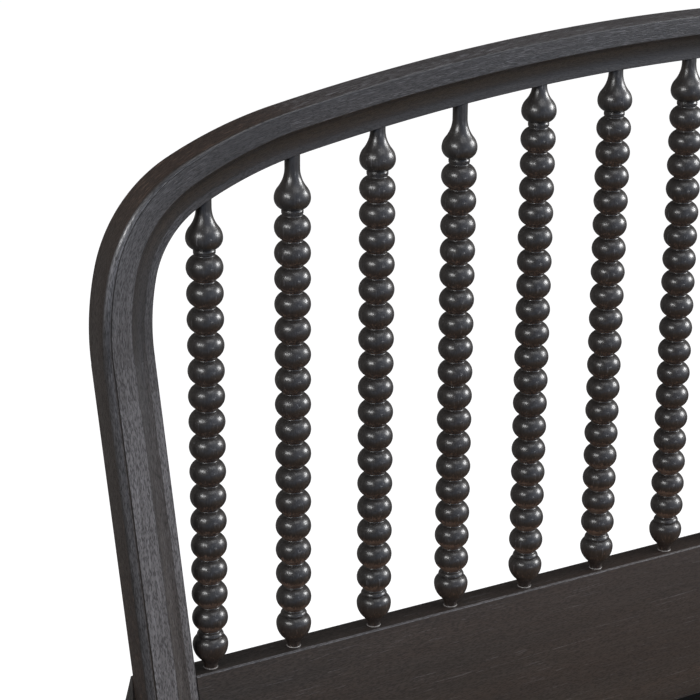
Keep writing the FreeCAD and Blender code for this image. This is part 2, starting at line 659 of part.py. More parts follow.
def make_headboard_leg(name, side):
    """Leg behind a post, with a long slope at its back that ends under the panel's top."""
    low, high = mirrored(side, LEG_INSIDE, LEG_OUTSIDE)
    body = new_body(f"headboard_leg_{name}")
    fall = "(leg_depth - leg_top_depth) / tan(leg_slope)"
    sketch = outline(body, f"leg_side_{name}", frame((size(low), 0, 0), Y_AXIS, Z_AXIS), [
        (LEG_FRONT, "glide_thick"),
        (LEG_BACK, "glide_thick"),
        (LEG_BACK, f"panel_top - {fall}"),
        (f"{LEG_FRONT} + leg_top_depth", "panel_top"),
        (LEG_FRONT, "panel_top"),
    ])
    post = pad(body, sketch, f"{high} - ({low})")
    ease(body, post, lambda edge: edge.BoundBox.YMin > size(f"{LEG_FRONT} + leg_top_depth + edge_ease"))
    back = frame((0, size(LEG_BACK), 0), X_AXIS, Z_AXIS * -1)
    screws = [(side * x, -z) for x, z in leg_screw_places()]
    bolts = [(side * size(BOLT_LINE), -size(height)) for height in ("bolt_low_height", "bolt_high_height")]
    bore(body, f"leg_screw_{name}", back, screws, "screw_diameter + 2 * joint_gap", "leg_depth + 1")
    bore(body, f"leg_screw_head_{name}", back, screws, "screw_head + 2 * joint_gap", "screw_head_height")
    bore(body, f"leg_bolt_{name}", back, bolts, "bolt_diameter + 2 * joint_gap", "leg_depth + 1")
    bore(body, f"leg_bolt_head_{name}", back, bolts, "bolt_head + 2 * joint_gap", "bolt_head_height")


def make_leg_screws():
    seat = size(f"{LEG_BACK} - screw_head_height")
    screws = [headed(f"leg_screw_{name}_{index}", Vector(side * x, seat, z), Y_AXIS * -1, "screw_diameter",
                     "leg_depth - screw_head_height + screw_bite", "screw_head", "screw_head_height")
              for name, side in SIDES
              for index, (x, z) in enumerate(leg_screw_places(), start=1)]
    group("leg_screws", screws)


def make_side_rail(name, side):
    low, high = mirrored(side, BAY_HALF, RAIL_OUTSIDE)
    rail = board(f"side_rail_{name}", (low, FOOT_INSIDE, RAIL_BOTTOM), (high, LEG_FRONT, "side_rail_top"))
    end = frame((0, size(LEG_FRONT), 0), X_AXIS, Z_AXIS * -1)
    heights = [size("bolt_low_height"), size("bolt_high_height")]
    bore(rail, f"rail_bolt_{name}", end, [(side * size(BOLT_LINE), -z) for z in heights],
         "bolt_diameter + 2 * joint_gap", "bolt_reach + 2")
    inside = frame((side * size(BAY_HALF), 0, 0), Y_AXIS, Z_AXIS * -side)
    nut_y = size(f"{LEG_FRONT} - nut_depth")
    bore(rail, f"rail_nut_{name}", inside, [(nut_y, -side * z) for z in heights],
         "nut_diameter + 2 * joint_gap", "side_rail_thick / 2 + nut_length / 2")
    corner_y = size(f"{FOOT_INSIDE} + foot_leg_size / 2")
    bore(rail, f"rail_corner_{name}", inside, [(corner_y, -side * z) for z in corner_heights(0)],
         "screw_diameter + 2 * joint_gap", "screw_bite + joint_gap")


def make_bed_bolts():
    bolts, nuts = [], []
    for name, side in SIDES:
        for index, height in enumerate(("bolt_low_height", "bolt_high_height"), start=1):
            x, z = side * size(BOLT_LINE), size(height)
            seat = Vector(x, size(f"{LEG_BACK} - bolt_head_height"), z)
            bolts.append(headed(f"bed_bolt_{name}_{index}", seat, Y_AXIS * -1, "bolt_diameter",
                                "leg_depth - bolt_head_height + bolt_reach", "bolt_head", "bolt_head_height"))
            start = Vector(x - size("nut_length / 2"), size(f"{LEG_FRONT} - nut_depth"), z)
            block = cylinder(f"nut_block_{name}_{index}", start, X_AXIS, "nut_diameter", "nut_length")
            eye = cylinder(f"nut_eye_{name}_{index}", Vector(x, start.y - size("nut_diameter"), z), Y_AXIS,
                           "bolt_diameter + 2 * joint_gap", "2 * nut_diameter")
            nut = doc.addObject("Part::Cut", f"barrel_nut_{name}_{index}")
            nut.Base = block
            nut.Tool = eye
            nuts.append(nut)
    group("bed_bolts", bolts)
    group("barrel_nuts", nuts)


def corner_heights(crossing):
    """Heights of the two screws that hold a foot leg to one rail."""
    low = size(f"corner_screw_height + corner_screw_stagger_height * {crossing}")
    return [low, low + size("screw_spacing")]


def make_foot_rail():
    rail = board("foot_rail", (f"-{RAIL_OUTSIDE}", FOOT_OUTSIDE, RAIL_BOTTOM),
                 (RAIL_OUTSIDE, FOOT_INSIDE, "side_rail_top"))
    inside = frame((0, size(FOOT_INSIDE), 0), X_AXIS, Z_AXIS * -1)
    x = size(f"{BAY_HALF} - foot_leg_size / 2")
    bore(rail, "foot_rail_corner", inside, [(side * x, -z) for _, side in SIDES for z in corner_heights(1)],
         "screw_diameter + 2 * joint_gap", "screw_bite + joint_gap")


def make_foot_leg(name, side):
    """Leg inside a foot corner, square between the rails and tapered on its inner sides below them."""
    body = new_body(f"foot_leg_{name}")

    def square(label, level, width):
        low, high = mirrored(side, f"{BAY_HALF} - {width}", BAY_HALF)
        place = frame((0, 0, size(level)), X_AXIS, Y_AXIS)
        return outline(body, f"{label}_{name}", place, [
            (low, FOOT_INSIDE), (high, FOOT_INSIDE),
            (high, f"{FOOT_INSIDE} + {width}"), (low, f"{FOOT_INSIDE} + {width}")])

    toe = square("foot_leg_toe_line", "glide_thick", "foot_leg_toe")
    knee = square("foot_leg_knee_line", RAIL_BOTTOM, "foot_leg_size")
    taper = body.newObject("PartDesign::AdditiveLoft", f"foot_leg_taper_{name}")
    taper.Profile = toe
    taper.Sections = [(knee, [""])]
    taper.Ruled = True
    pad(body, square("foot_leg_block", RAIL_BOTTOM, "foot_leg_size"), f"{LEDGER_TOP} - {RAIL_BOTTOM}")
    middle = size("foot_leg_size / 2")
    x = side * (size(BAY_HALF) - middle)
    y = size(FOOT_INSIDE) + middle
    across = frame((side * size(f"{BAY_HALF} - foot_leg_size"), 0, 0), Y_AXIS, Z_AXIS * -side)
    along = frame((0, size(f"{FOOT_INSIDE} + foot_leg_size"), 0), X_AXIS, Z_AXIS * -1)
    for label, mouth, places in (
            ("across", across, [(y, -side * z) for z in corner_heights(0)]),
            ("along", along, [(x, -z) for z in corner_heights(1)])):
        bore(body, f"foot_leg_{label}_{name}", mouth, places,
             "screw_diameter + 2 * joint_gap", "foot_leg_size + 1")
        bore(body, f"foot_leg_{label}_head_{name}", mouth, places,
             "screw_head + 2 * joint_gap", "screw_head_height")


def make_corner_screws():
    screws = []
    reach = "foot_leg_size - screw_head_height + screw_bite"
    inset = size("foot_leg_size - screw_head_height")
    middle = size("foot_leg_size / 2")
    for name, side in SIDES:
        edge_x, edge_y = size(BAY_HALF), size(FOOT_INSIDE)
        for index in range(2):
            seat = Vector(side * (edge_x - inset), edge_y + middle, corner_heights(0)[index])
            screws.append(headed(f"corner_across_{name}_{index}", seat, X_AXIS * side, "screw_diameter",
                                 reach, "screw_head", "screw_head_height"))
            seat = Vector(side * (edge_x - middle), edge_y + inset, corner_heights(1)[index])
            screws.append(headed(f"corner_along_{name}_{index}", seat, Y_AXIS * -1, "screw_diameter",
                                 reach, "screw_head", "screw_head_height"))
    group("corner_screws", screws)


def slat_places():
    first = size(f"{FOOT_INSIDE} + slat_margin + slat_width / 2")
    last = size(f"{HOOP_FRONT} - slat_margin - slat_width / 2")
    steps = count("slat_count") - 1
    return [first + (last - first) * step / steps for step in range(steps + 1)]


def slat_screw_line():
    return size(f"{BAY_HALF} - ledger_size / 2")


def make_ledger(name, side):
    low, high = mirrored(side, f"{BAY_HALF} - ledger_size", BAY_HALF)
    ledger = board(f"side_ledger_{name}",
                   (low, f"{FOOT_INSIDE} + foot_leg_size + seat_gap", f"{LEDGER_TOP} - ledger_size"),
                   (high, HOOP_FRONT, LEDGER_TOP))
    mouth = frame((0, 0, size(LEDGER_TOP)), X_AXIS, Y_AXIS)
    bore(ledger, f"ledger_screws_{name}", mouth, [(side * slat_screw_line(), y) for y in slat_places()],
         "slat_screw_diameter + 2 * joint_gap", "slat_screw_bite + joint_gap")


def make_slat(number, y):
    """Slat across the bed, screwed to a ledger at either end."""
    slat = board(f"slat_{number:02d}",
                 (f"-({BAY_HALF} - slat_end_gap)", f"{y} - slat_width / 2", LEDGER_TOP),
                 (f"{BAY_HALF} - slat_end_gap", f"{y} + slat_width / 2", "slat_top"))
    mouth = frame((0, y, size("slat_top")), X_AXIS, Y_AXIS)
    places = [(side * slat_screw_line(), 0) for _, side in SIDES]
    bore(slat, f"slat_hole_{number:02d}", mouth, places,
         "slat_screw_diameter + 2 * joint_gap", "slat_thick + 1")
    bore(slat, f"slat_sink_{number:02d}", mouth, places,
         "slat_screw_head + 2 * joint_gap", "slat_screw_head_height")


def make_slat_screws():
    seat = size("slat_top - slat_screw_head_height")
    line = slat_screw_line()
    screws = [headed(f"slat_screw_{number:02d}_{name}", Vector(side * line, y, seat), Z_AXIS * -1,
                     "slat_screw_diameter", "slat_thick - slat_screw_head_height + slat_screw_bite",
                     "slat_screw_head", "slat_screw_head_height")
              for number, y in enumerate(slat_places(), start=1)
              for name, side in SIDES]
    group("slat_screws", screws)


def make_hanger(name, wall, direction):
    """Steel saddle for an end of the centre beam: a plate on the rail and a channel under the beam."""
    body = new_body(f"beam_hanger_{name}")
    inner = "(beam_width / 2 + seat_gap)"
    outer = f"({inner} + hanger_plate)"
    floor = f"({BEAM_BOTTOM} - seat_gap)"
    wing = f"({outer} + hanger_wing)"
    x_axis = X_AXIS * -direction
    place = frame((0, size(wall), 0), x_axis, Z_AXIS)
    plate = outline(body, f"hanger_plate_{name}", place, [
        (f"-{wing}", f"{floor} - hanger_plate"), (wing, f"{floor} - hanger_plate"),
        (wing, LEDGER_TOP), (f"-{wing}", LEDGER_TOP)])
    pad(body, plate, "hanger_plate")
    channel = outline(body, f"hanger_channel_{name}", place, [
        (f"-{outer}", f"{floor} - hanger_plate"), (outer, f"{floor} - hanger_plate"),
        (outer, LEDGER_TOP), (inner, LEDGER_TOP), (inner, floor),
        (f"-{inner}", floor), (f"-{inner}", LEDGER_TOP), (f"-{outer}", LEDGER_TOP)])
    pad(body, channel, "hanger_depth")


def centre_leg_places():
    """Number and place along the bed of each centre leg, at even parts of the beam."""
    start, length = size(FOOT_INSIDE), size(f"{LEG_FRONT} - {FOOT_INSIDE}")
    legs = count("centre_leg_count")
    return [(number, start + length * (number - 0.5) / legs) for number in range(1, legs + 1)]


def make_centre_leg(number, y):
    half = "centre_leg_size / 2"
    leg = board(f"centre_leg_{number}", (f"-{half}", f"{y} - {half}", "leveller_height + seat_gap"),
                (half, f"{y} + {half}", BEAM_BOTTOM))
    mouth = frame((0, y, size("leveller_height + seat_gap")), X_AXIS, Y_AXIS * -1)
    bore(leg, f"leveller_hole_{number}", mouth, [(0, 0)],
         "leveller_stem + 2 * seat_gap", "leveller_reach + seat_gap")


def make_leveller(number, y):
    """Screw-in foot: a stem inside the centre leg and a round pad on the floor."""
    body = new_body(f"leveller_{number}")
    sketch = outline(body, f"leveller_profile_{number}", frame((0, 0, 0), X_AXIS, Z_AXIS), [
        ("0", "0"),
        ("leveller_pad / 2 - edge_ease", "0"),
        ("leveller_pad / 2", "edge_ease", "edge_ease", True),
        ("leveller_pad / 2", "leveller_height - edge_ease"),
        ("leveller_pad / 2 - edge_ease", "leveller_height", "edge_ease", True),
        ("leveller_stem / 2", "leveller_height"),
        ("leveller_stem / 2", "leveller_height + leveller_reach"),
        ("0", "leveller_height + leveller_reach"),
    ])
    revolve(body, sketch)
    body.Placement = Placement(Vector(0, y, 0), Rotation())


def make_glides():
    toe = size("foot_leg_toe / 2")
    leg_middle = (size(f"({LEG_INSIDE} + {LEG_OUTSIDE}) / 2"), size(f"{LEG_BACK} - leg_depth / 2"))
    foot_middle = (size(BAY_HALF) - toe, size(FOOT_INSIDE) + toe)
    glides = [cylinder(f"glide_{part}_{name}", Vector(side * x, y, 0), Z_AXIS,
                       "glide_diameter", "glide_thick")
              for name, side in SIDES
              for part, (x, y) in (("head", leg_middle), ("foot", foot_middle))]
    group("leg_glides", glides)


def build():
    make_crest()
    for name, side in SIDES:
        make_shoulder(name, side)
        make_post(name, side)
        make_headboard_leg(name, side)
        make_side_rail(name, side)
        make_ledger(name, side)
        make_foot_leg(name, side)
    make_hoop_dowels()
    make_panel()
    make_panel_dowels()
    for number, x in spindle_places():
        make_spindle(number, x)
    make_leg_screws()
    board("head_rail", (f"-{LEG_INSIDE}", LEG_FRONT, RAIL_BOTTOM),
          (LEG_INSIDE, f"{LEG_FRONT} + head_rail_thick", "side_rail_top"))
    make_bed_bolts()
    make_foot_rail()
    make_corner_screws()
    for number, y in enumerate(slat_places(), start=1):
        make_slat(number, y)
    make_slat_screws()
    make_hanger("head", LEG_FRONT, -1)
    make_hanger("foot", FOOT_INSIDE, 1)
    board("centre_beam", ("-beam_width / 2", f"{FOOT_INSIDE} + hanger_plate", BEAM_BOTTOM),
          ("beam_width / 2", f"{LEG_FRONT} - hanger_plate", LEDGER_TOP))
    for number, y in centre_leg_places():
        make_centre_leg(number, y)
        make_leveller(number, y)
    make_glides()
    doc.recompute()


def export():
    """Check every piece, then write one file for each node."""
    for item in doc.Objects:
        if {"Invalid", "Error"} & set(item.State):
            raise RuntimeError(f"{item.Label} did not build: {item.getStatusString()}")
    os.makedirs("parts", exist_ok=True)
    for node in NODES:
        if node.Shape.isNull() or not node.Shape.isValid():
            raise RuntimeError(f"{node.Label} has no sound shape")
        node.Shape.exportStep(f"parts/{node.Label}.step")


build()
export()
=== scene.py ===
import math
from collections import namedtuple

import bmesh
import bpy
from mathutils import Euler, Matrix, Vector


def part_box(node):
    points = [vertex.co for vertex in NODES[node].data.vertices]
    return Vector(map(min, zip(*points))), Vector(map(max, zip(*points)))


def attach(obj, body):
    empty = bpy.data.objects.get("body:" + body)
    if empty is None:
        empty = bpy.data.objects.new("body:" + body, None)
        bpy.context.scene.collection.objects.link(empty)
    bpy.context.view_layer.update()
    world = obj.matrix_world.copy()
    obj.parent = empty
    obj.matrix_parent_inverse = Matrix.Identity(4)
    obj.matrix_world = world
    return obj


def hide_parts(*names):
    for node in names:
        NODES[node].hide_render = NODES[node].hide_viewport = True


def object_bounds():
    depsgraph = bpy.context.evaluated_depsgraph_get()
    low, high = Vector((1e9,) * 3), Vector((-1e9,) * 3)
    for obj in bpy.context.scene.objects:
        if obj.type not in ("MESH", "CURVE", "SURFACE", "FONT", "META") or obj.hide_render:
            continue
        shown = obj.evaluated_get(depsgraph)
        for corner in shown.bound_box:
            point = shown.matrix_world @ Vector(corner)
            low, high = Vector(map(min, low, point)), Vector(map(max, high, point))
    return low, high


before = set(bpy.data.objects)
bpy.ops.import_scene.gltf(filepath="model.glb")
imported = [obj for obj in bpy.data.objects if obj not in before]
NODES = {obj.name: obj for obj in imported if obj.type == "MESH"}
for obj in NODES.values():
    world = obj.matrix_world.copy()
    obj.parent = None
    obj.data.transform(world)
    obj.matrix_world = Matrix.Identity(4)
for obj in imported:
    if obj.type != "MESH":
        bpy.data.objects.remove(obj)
CAD_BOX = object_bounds()

bl_info = {
    "name": "Spool-turned platform bed",
    "version": (1, 0, 0),
    "blender": (4, 5, 0),
    "location": "View3D > Sidebar > Bed",
    "description": "Moulded hoop, turned spindles, panel, rails, slats and studio of a platform bed",
    "category": "Object",
}

BODY = "bed"
SIDES = (("left", -1), ("right", 1))
SPINDLES = sorted(name for name in NODES if name.startswith("spindle_"))
HOOP_Y = sum(corner.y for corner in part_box("headboard_crest")) / 2
PANEL_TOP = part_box("headboard_panel")[1].z
PANEL_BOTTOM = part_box("headboard_panel")[0].z

# Distances or angles that count as none, and depths that count as the surface
NEAR = 1e-5
SKIN = 1e-4

# Edges that turn by more than this stay hard on sawn and on turned pieces
SAWN_EDGE = math.radians(35)
TURNED_EDGE = math.radians(50)

# Wall and whole width of the fine groove beside the hoop's rounded edge, in parts of its depth
GROOVE_WALL = 0.3
GROOVE_WIDTH = 3.0

# Parts that the hoop's pieces are made of along their length
CREST_STEPS = 110
SHOULDER_STEPS = (22, 40, 18)
POST_STEPS = 16

# Heights on the hoop between which its finish changes
SHOULDER_HEIGHTS = (1.17, 1.05)
POST_HEIGHTS = (0.96, 0.83)
# Heights above and below which the painted highlight on the rounded edge at the shoulders fades out
BEND_TOP_HEIGHTS = (1.14, 1.08)
BEND_FOOT_HEIGHTS = (0.96, 1.04)

# Distances along the hoop from its middle between which its outer side changes
CREST_RUNS = (0.75, 0.45)
HAUNCH_RUNS = (0.45, 0.65)
SHOULDER_RUNS = (0.80, 0.90)
POST_RUNS = (1.1, 1.4)

# Turn of the rounded edge from the outer side to the front, as the forward part of its normal; over it the
# edge's painted sheen grows
FRONT_TURN = (0.0, 0.769)
FLAT_FRONT = 0.999

# Bareness of the flat between which hollow and lip get bare too, and how far the lip lies behind the flat
LOW_BARENESS = (0.3, 0.8)
LIP_BEHIND = 0.001

# Heights on a spindle in beads above its foot, and heights in one bead, between which its rubbing and painted
# warm bounce light change
LOW_BEADS = (6, 1)
FOOT_BEADS = (-0.3, -0.8)
UNDER_BEAD = (0.56, 0.14)

# Part of a normal that counts as none, and its backward part on the two fine painted highlight lines along
# the panel's front edges
LEVEL = 0.01
OUTER_LINE = (-0.2, -0.1)
FRONT_LINE = -0.97

# Turns that bring the grain along the bed's three axes
CROSSWAYS = (0, 0, 0)
LENGTHWAYS = (0, 0, math.pi / 2)
UPRIGHT = (0, math.pi / 2, 0)

# Sockets of a colour mix
MIX_COLOURS = (6, 7)
MIX_RESULT = 2

# Hoop's section: flat, start of the lip, whole face, depth of the hollow, rounded edge
Widths = namedtuple("Widths", "flat lip face cove edge")


def length(name, description, default):
    return bpy.props.FloatProperty(name=name, description=description, default=default, min=0.0,
                                   precision=4, subtype="DISTANCE", unit="LENGTH")


def angle(name, description, degrees):
    return bpy.props.FloatProperty(name=name, description=description, default=math.radians(degrees),
                                   subtype="ANGLE", unit="ROTATION")


def share(name, description, default):
    return bpy.props.FloatProperty(name=name, description=description, default=default, min=0.0, max=1.0,
                                   subtype="FACTOR")


def power(name, description, watts):
    return bpy.props.FloatProperty(name=name, description=description, default=watts, min=0.0, unit="POWER")


def colour(name, description, default):
    return bpy.props.FloatVectorProperty(name=name, description=description, default=default, size=3,
                                         min=0.0, max=1.0, subtype="COLOR")


class HoopSizes(bpy.types.PropertyGroup):
    """Outline and section of the headboard's hoop."""

    width: length("Width", "Hoop over its widest", 1.678)
    height: length("Height", "Floor to the top of the crest", 1.255)
    crest_radius: length("Crest radius", "Outer curve over the middle", 3.275)
    haunch_radius: length("Haunch radius", "Outer curve where the crest turns down", 0.548)
    shoulder_radius: length("Shoulder radius", "Tightest outer curve", 0.173)
    swell_radius: length("Swell radius", "Outer curve from shoulder into post", 0.342)
    haunch_angle: angle("Haunch angle", "Slope where haunch meets shoulder", 25.5)
    shoulder_angle: angle("Shoulder angle", "Slope where shoulder meets swell", 76.6)
    post_lean: angle("Post lean", "Outward lean of the posts", 5.9)
    thick: length("Thickness", "Hoop, front to back", 0.044)
    crest_face: length("Crest face", "Hoop face across the crest", 0.0578)
    post_top_face: length("Post top face", "Hoop face at the top of a post", 0.065)
    post_foot_face: length("Post foot face", "Hoop face at the foot of a post", 0.0685)
    crest_flat: length("Crest flat", "Flat of the face at the crest", 0.024)
    post_top_flat: length("Post top flat", "Flat of the face at the top of a post", 0.0365)
    post_foot_flat: length("Post foot flat", "Flat of the face at the foot of a post", 0.0395)
    crest_round: length("Crest round", "Rounded outer front edge at the crest", 0.0022)
    post_round: length("Post round", "Rounded outer front edge at a post", 0.0085)
    back_round: length("Back round", "Rounded back edges", 0.003)
    quirk: length("Quirk", "Depth of the fine groove beside the rounded edge", 0.0006)
    face_round: length("Face round", "Softened edge between the flat and the hollow", 0.0016)
    crest_cove: length("Crest cove", "Depth of the hollow at the crest", 0.012)
    post_cove: length("Post cove", "Depth of the hollow at a post", 0.0068)
    crest_lip: length("Crest lip", "Narrow flat inside the hollow at the crest", 0.0068)
    post_lip: length("Post lip", "Narrow flat inside the hollow at a post", 0.0088)
    lip_edge: length("Lip edge", "Bevelled inner edge of that flat", 0.00078)


class SpindleSizes(bpy.types.PropertyGroup):
    """Turned profile of the spindles."""

    pitch: length("Bead pitch", "Bead to bead", 0.0315)
    bead: length("Bead", "Bead across", 0.0438)
    groove: length("Groove", "Spindle across the groove between beads", 0.0246)
    groove_round: length("Groove round", "Rounded bottom of a groove", 0.0016)
    vase_height: length("Vase height", "Turned foot below the first bead", 0.0504)
    vase: length("Vase", "Turned foot across", 0.0436)
    vase_belly: length("Vase belly", "Panel to the widest of the foot", 0.0315)
    vase_round: length("Vase round", "Rounding of the foot at its widest", 0.026)
    foot_neck: length("Foot neck", "Spindle where it enters the panel", 0.016)
    glue: length("Glue line", "Bead of glue around the foot", 0.0009)
    foot_ring: length("Foot ring", "Ring below the first groove, across", 0.033)
    foot_ring_height: length("Foot ring height", "Ring below the first groove", 0.008)
    drop_ring: length("Drop ring", "Ring above the last groove, across", 0.0276)
    drop_ring_lift: length("Drop ring lift", "Last groove to its ring", 0.0028)
    drop_ring_height: length("Drop ring height", "Ring above the last groove", 0.0024)
    ring_quirk: length("Ring quirk", "Fine groove beside a ring", 0.001)
    drop_belly: length("Drop belly", "Last groove to the widest of the drop", 0.0195)
    drop_round: length("Drop round", "Rounding of the drop", 0.020)
    drop_taper: length("Drop taper", "Widest of the drop to its straight neck", 0.036)
    drop_least: length("Shortest drop", "Last groove to the hoop at least", 0.051)
    drop_neck: length("Drop neck", "Spindle where it enters the hoop", 0.0184)
    tenon: length("Tenon", "Spindle's end inside the wood", 0.0138)
    steps: bpy.props.IntProperty(name="Steps", description="Faces around a spindle", default=56, min=16)


class PanelSizes(bpy.types.PropertyGroup):
    """Plank under the spindles."""

    front: length("Front", "Spindles' axes to the front", 0.016)
    back: length("Back", "Spindles' axes to the back", 0.0218)
    edge: length("Edge", "Rounded long edges", 0.002)
    gap: length("Gap", "Room between an end and its post", 0.0002)


class WoodFinish(bpy.types.PropertyGroup):
    """Colours of the stained and plain wood."""

    stain: colour("Stain", "Charcoal stain", (0.0185, 0.0158, 0.0142))
    streak: colour("Streak", "Paler lines of the stained grain", (0.034, 0.029, 0.026))
    warm: colour("Warm", "Browner parts of the stain", (0.052, 0.033, 0.0245))
    pore: colour("Pore", "Stain gathered in the open pores", (0.009, 0.008, 0.0078))
    # Its blue tint is a painted sheen of the cool front light on the sanded grey
    bare: colour("Bare face", "Grey of the sanded front faces", (0.222, 0.222, 0.238))
    dash: colour("Dash", "Pale dashes of the open grain", (0.42, 0.42, 0.45))
    # The rub colour also paints warm bounce light under the beads and at the panel's right end
    rub: colour("Rub-through", "Brown wood under rubbed edges", (0.155, 0.102, 0.076))
    glue: colour("Glue", "Dried glue at the feet of the spindles", (0.42, 0.40, 0.38))
    slat: colour("Slat", "Plain slat wood", (0.34, 0.24, 0.15))
    slat_line: colour("Slat line", "Darker lines of the slat wood", (0.24, 0.15, 0.08))
    steel: colour("Steel", "Zinc-plated hardware", (0.56, 0.56, 0.58))
    plastic: colour("Plastic", "Glides and levelling pads", (0.028, 0.028, 0.03))
    gloss: share("Gloss", "Roughness of the stained wood", 0.40)
    coat: share("Coat", "Weight of the satin coat over the stain", 0.95)
    coat_gloss: share("Coat gloss", "Roughness of the satin coat", 0.22)
    streaks: share("Streaks", "Strength of the grain's paler lines", 0.70)
    pores: share("Pores", "Strength of the dark pores", 0.65)
    pore_dull: share("Pore dullness", "Roughness that pores add", 0.16)
    bare_dull: share("Bare dullness", "Roughness that bare faces add", 0.12)
    pore_coat: share("Pore coat", "Part of the coat that pores keep", 0.45)
    worn_coat: share("Worn coat", "Part of the coat that worn places keep", 0.10)
    pore_depth: length("Pore depth", "Depth of the grain's relief", 0.0005)


class WoodWearAndPaintedLight(bpy.types.PropertyGroup):
    """How far the headboard's wood is sanded bare and rubbed through, and where painted sheen, highlights and
    warm bounce light lie on it.
    """

    crest_bare: share("Crest bare", "Grey on the crest's flat", 0.12)
    shoulder_bare: share("Shoulder bare", "Grey that the shoulders' flats have more", 0.36)
    post_bare: share("Post bare", "Grey that the posts' flats have more again", 0.52)
    top_bare: share("Top bare", "Grey on top of the crest", 0.28)
    # Painted sheen on the rounded edge, greyer where it faces the front
    edge_sheen: share("Edge bare", "Grey of the rounded edge in parts of the flat's", 0.40)
    # Painted highlight on the rounded edge at the shoulders
    bend_highlight: share("Bend bare", "Grey that the rounded edge has more at the shoulders", 0.55)
    cove_bare: share("Cove bare", "Grey in the posts' hollow", 0.24)
    lip_bare: share("Lip bare", "Grey of the lip in parts of the flat's", 0.40)
    lip_more: share("Lip more", "What the posts' lip adds to these parts", 0.58)
    crest_dashes: share("Crest dashes", "Pale dashes on the crest", 0.50)
    hoop_dashes: share("Hoop dashes", "Pale dashes on shoulders and posts", 0.14)
    back_rub: share("Back rub", "Rubbing of the hoop's outer back edge", 0.90)
    top_rub: share("Top rub", "Rubbing on top of the crest", 0.12)
    haunch_rub: share("Haunch rub", "Rubbing that the haunches have more", 0.26)
    shoulder_rub: share("Shoulder rub", "Rubbing that the shoulders have less again", 0.16)
    post_rub: share("Post rub", "Rubbing that the posts' outer sides have more again", 0.14)
    # Brown under the beads: rubbing and painted warm light bounced up from below
    bead_rub_and_bounce: share("Bead rub", "Rubbing under the beads", 0.50)
    low_rub_and_bounce: share("Low rub", "Rubbing that the lowest beads have more", 0.30)
    foot_rub: share("Foot rub", "Rubbing of the turned feet", 0.33)
    panel_bare: share("Panel bare", "Grey on the panel's front", 0.08)
    # Painted highlight along the panel's rounded edges
    panel_edge_highlight: share("Panel edge", "Grey along the panel's edges", 0.10)
    # Painted highlight in two fine lines along the panel's front edges
    panel_highlight_lines: share("Panel line", "Grey of the two fine lines along its front edges", 0.95)
    # Brown at the panel's right end: painted warm light bounced from the pine slats, with the coat dulled
    # there
    panel_rub_and_bounce: share("Panel rub", "Rubbing at the panel's right end", 0.40)


class StudioSettings(bpy.types.PropertyGroup):
    """Camera and light."""

    lens: bpy.props.FloatProperty(name="Lens", description="Focal length", default=121.2, unit="CAMERA")
    eye: bpy.props.FloatVectorProperty(name="Eye", description="Camera place", size=3, subtype="TRANSLATION",
                                       unit="LENGTH", default=(-1.90633, HOOP_Y - 2.30388, 1.80392))
    pitch: angle("Pitch", "Camera's tilt up from straight down", 71.30228)
    roll: angle("Roll", "Camera's lean", -0.26674)
    heading: angle("Heading", "Camera's turn from looking along the bed", -31.24956)
    right_power: power("Right light", "Softbox at the right", 84)
    left_power: power("Left light", "Softbox at the left", 36)
    front_power: power("Front light", "Softbox in front", 5)
    top_power: power("Top light", "Softbox over the bed", 20)
    room: share("Room", "Grey of the room that lights the bed", 0.36)
    mirror_front: share("Front mirror", "Share of the white in front that glossy wood mirrors", 0.68)
    mirror_side: share("Side mirror", "Share of the white at the far left that glossy wood mirrors", 0.12)
    mirror_back: share("Back mirror", "Share of the white behind that glossy wood mirrors", 0.05)
    room_tint: colour("Room tint", "Tint of the room's light", (0.88, 0.90, 1.0))
    front_tint: colour("Front tint", "Tint of what glossy wood mirrors from the front", (0.60, 0.74, 1.0))
    back_tint: colour("Back tint", "Tint of what glossy wood mirrors from behind", (1.0, 0.95, 0.90))
    floor: colour("Floor", "Pale floor", (0.24, 0.24, 0.24))
    near_lift: share("Near lift", "White that the camera adds to the floor beside the bed", 0.72)
    floor_lift: share("Floor lift", "White that the camera adds to the floor", 0.94)
    floor_size: length("Floor size", "Floor from edge to edge", 40)


def settings(name):
    """One of the add-on's groups of settings."""
    return getattr(bpy.context.scene, name)


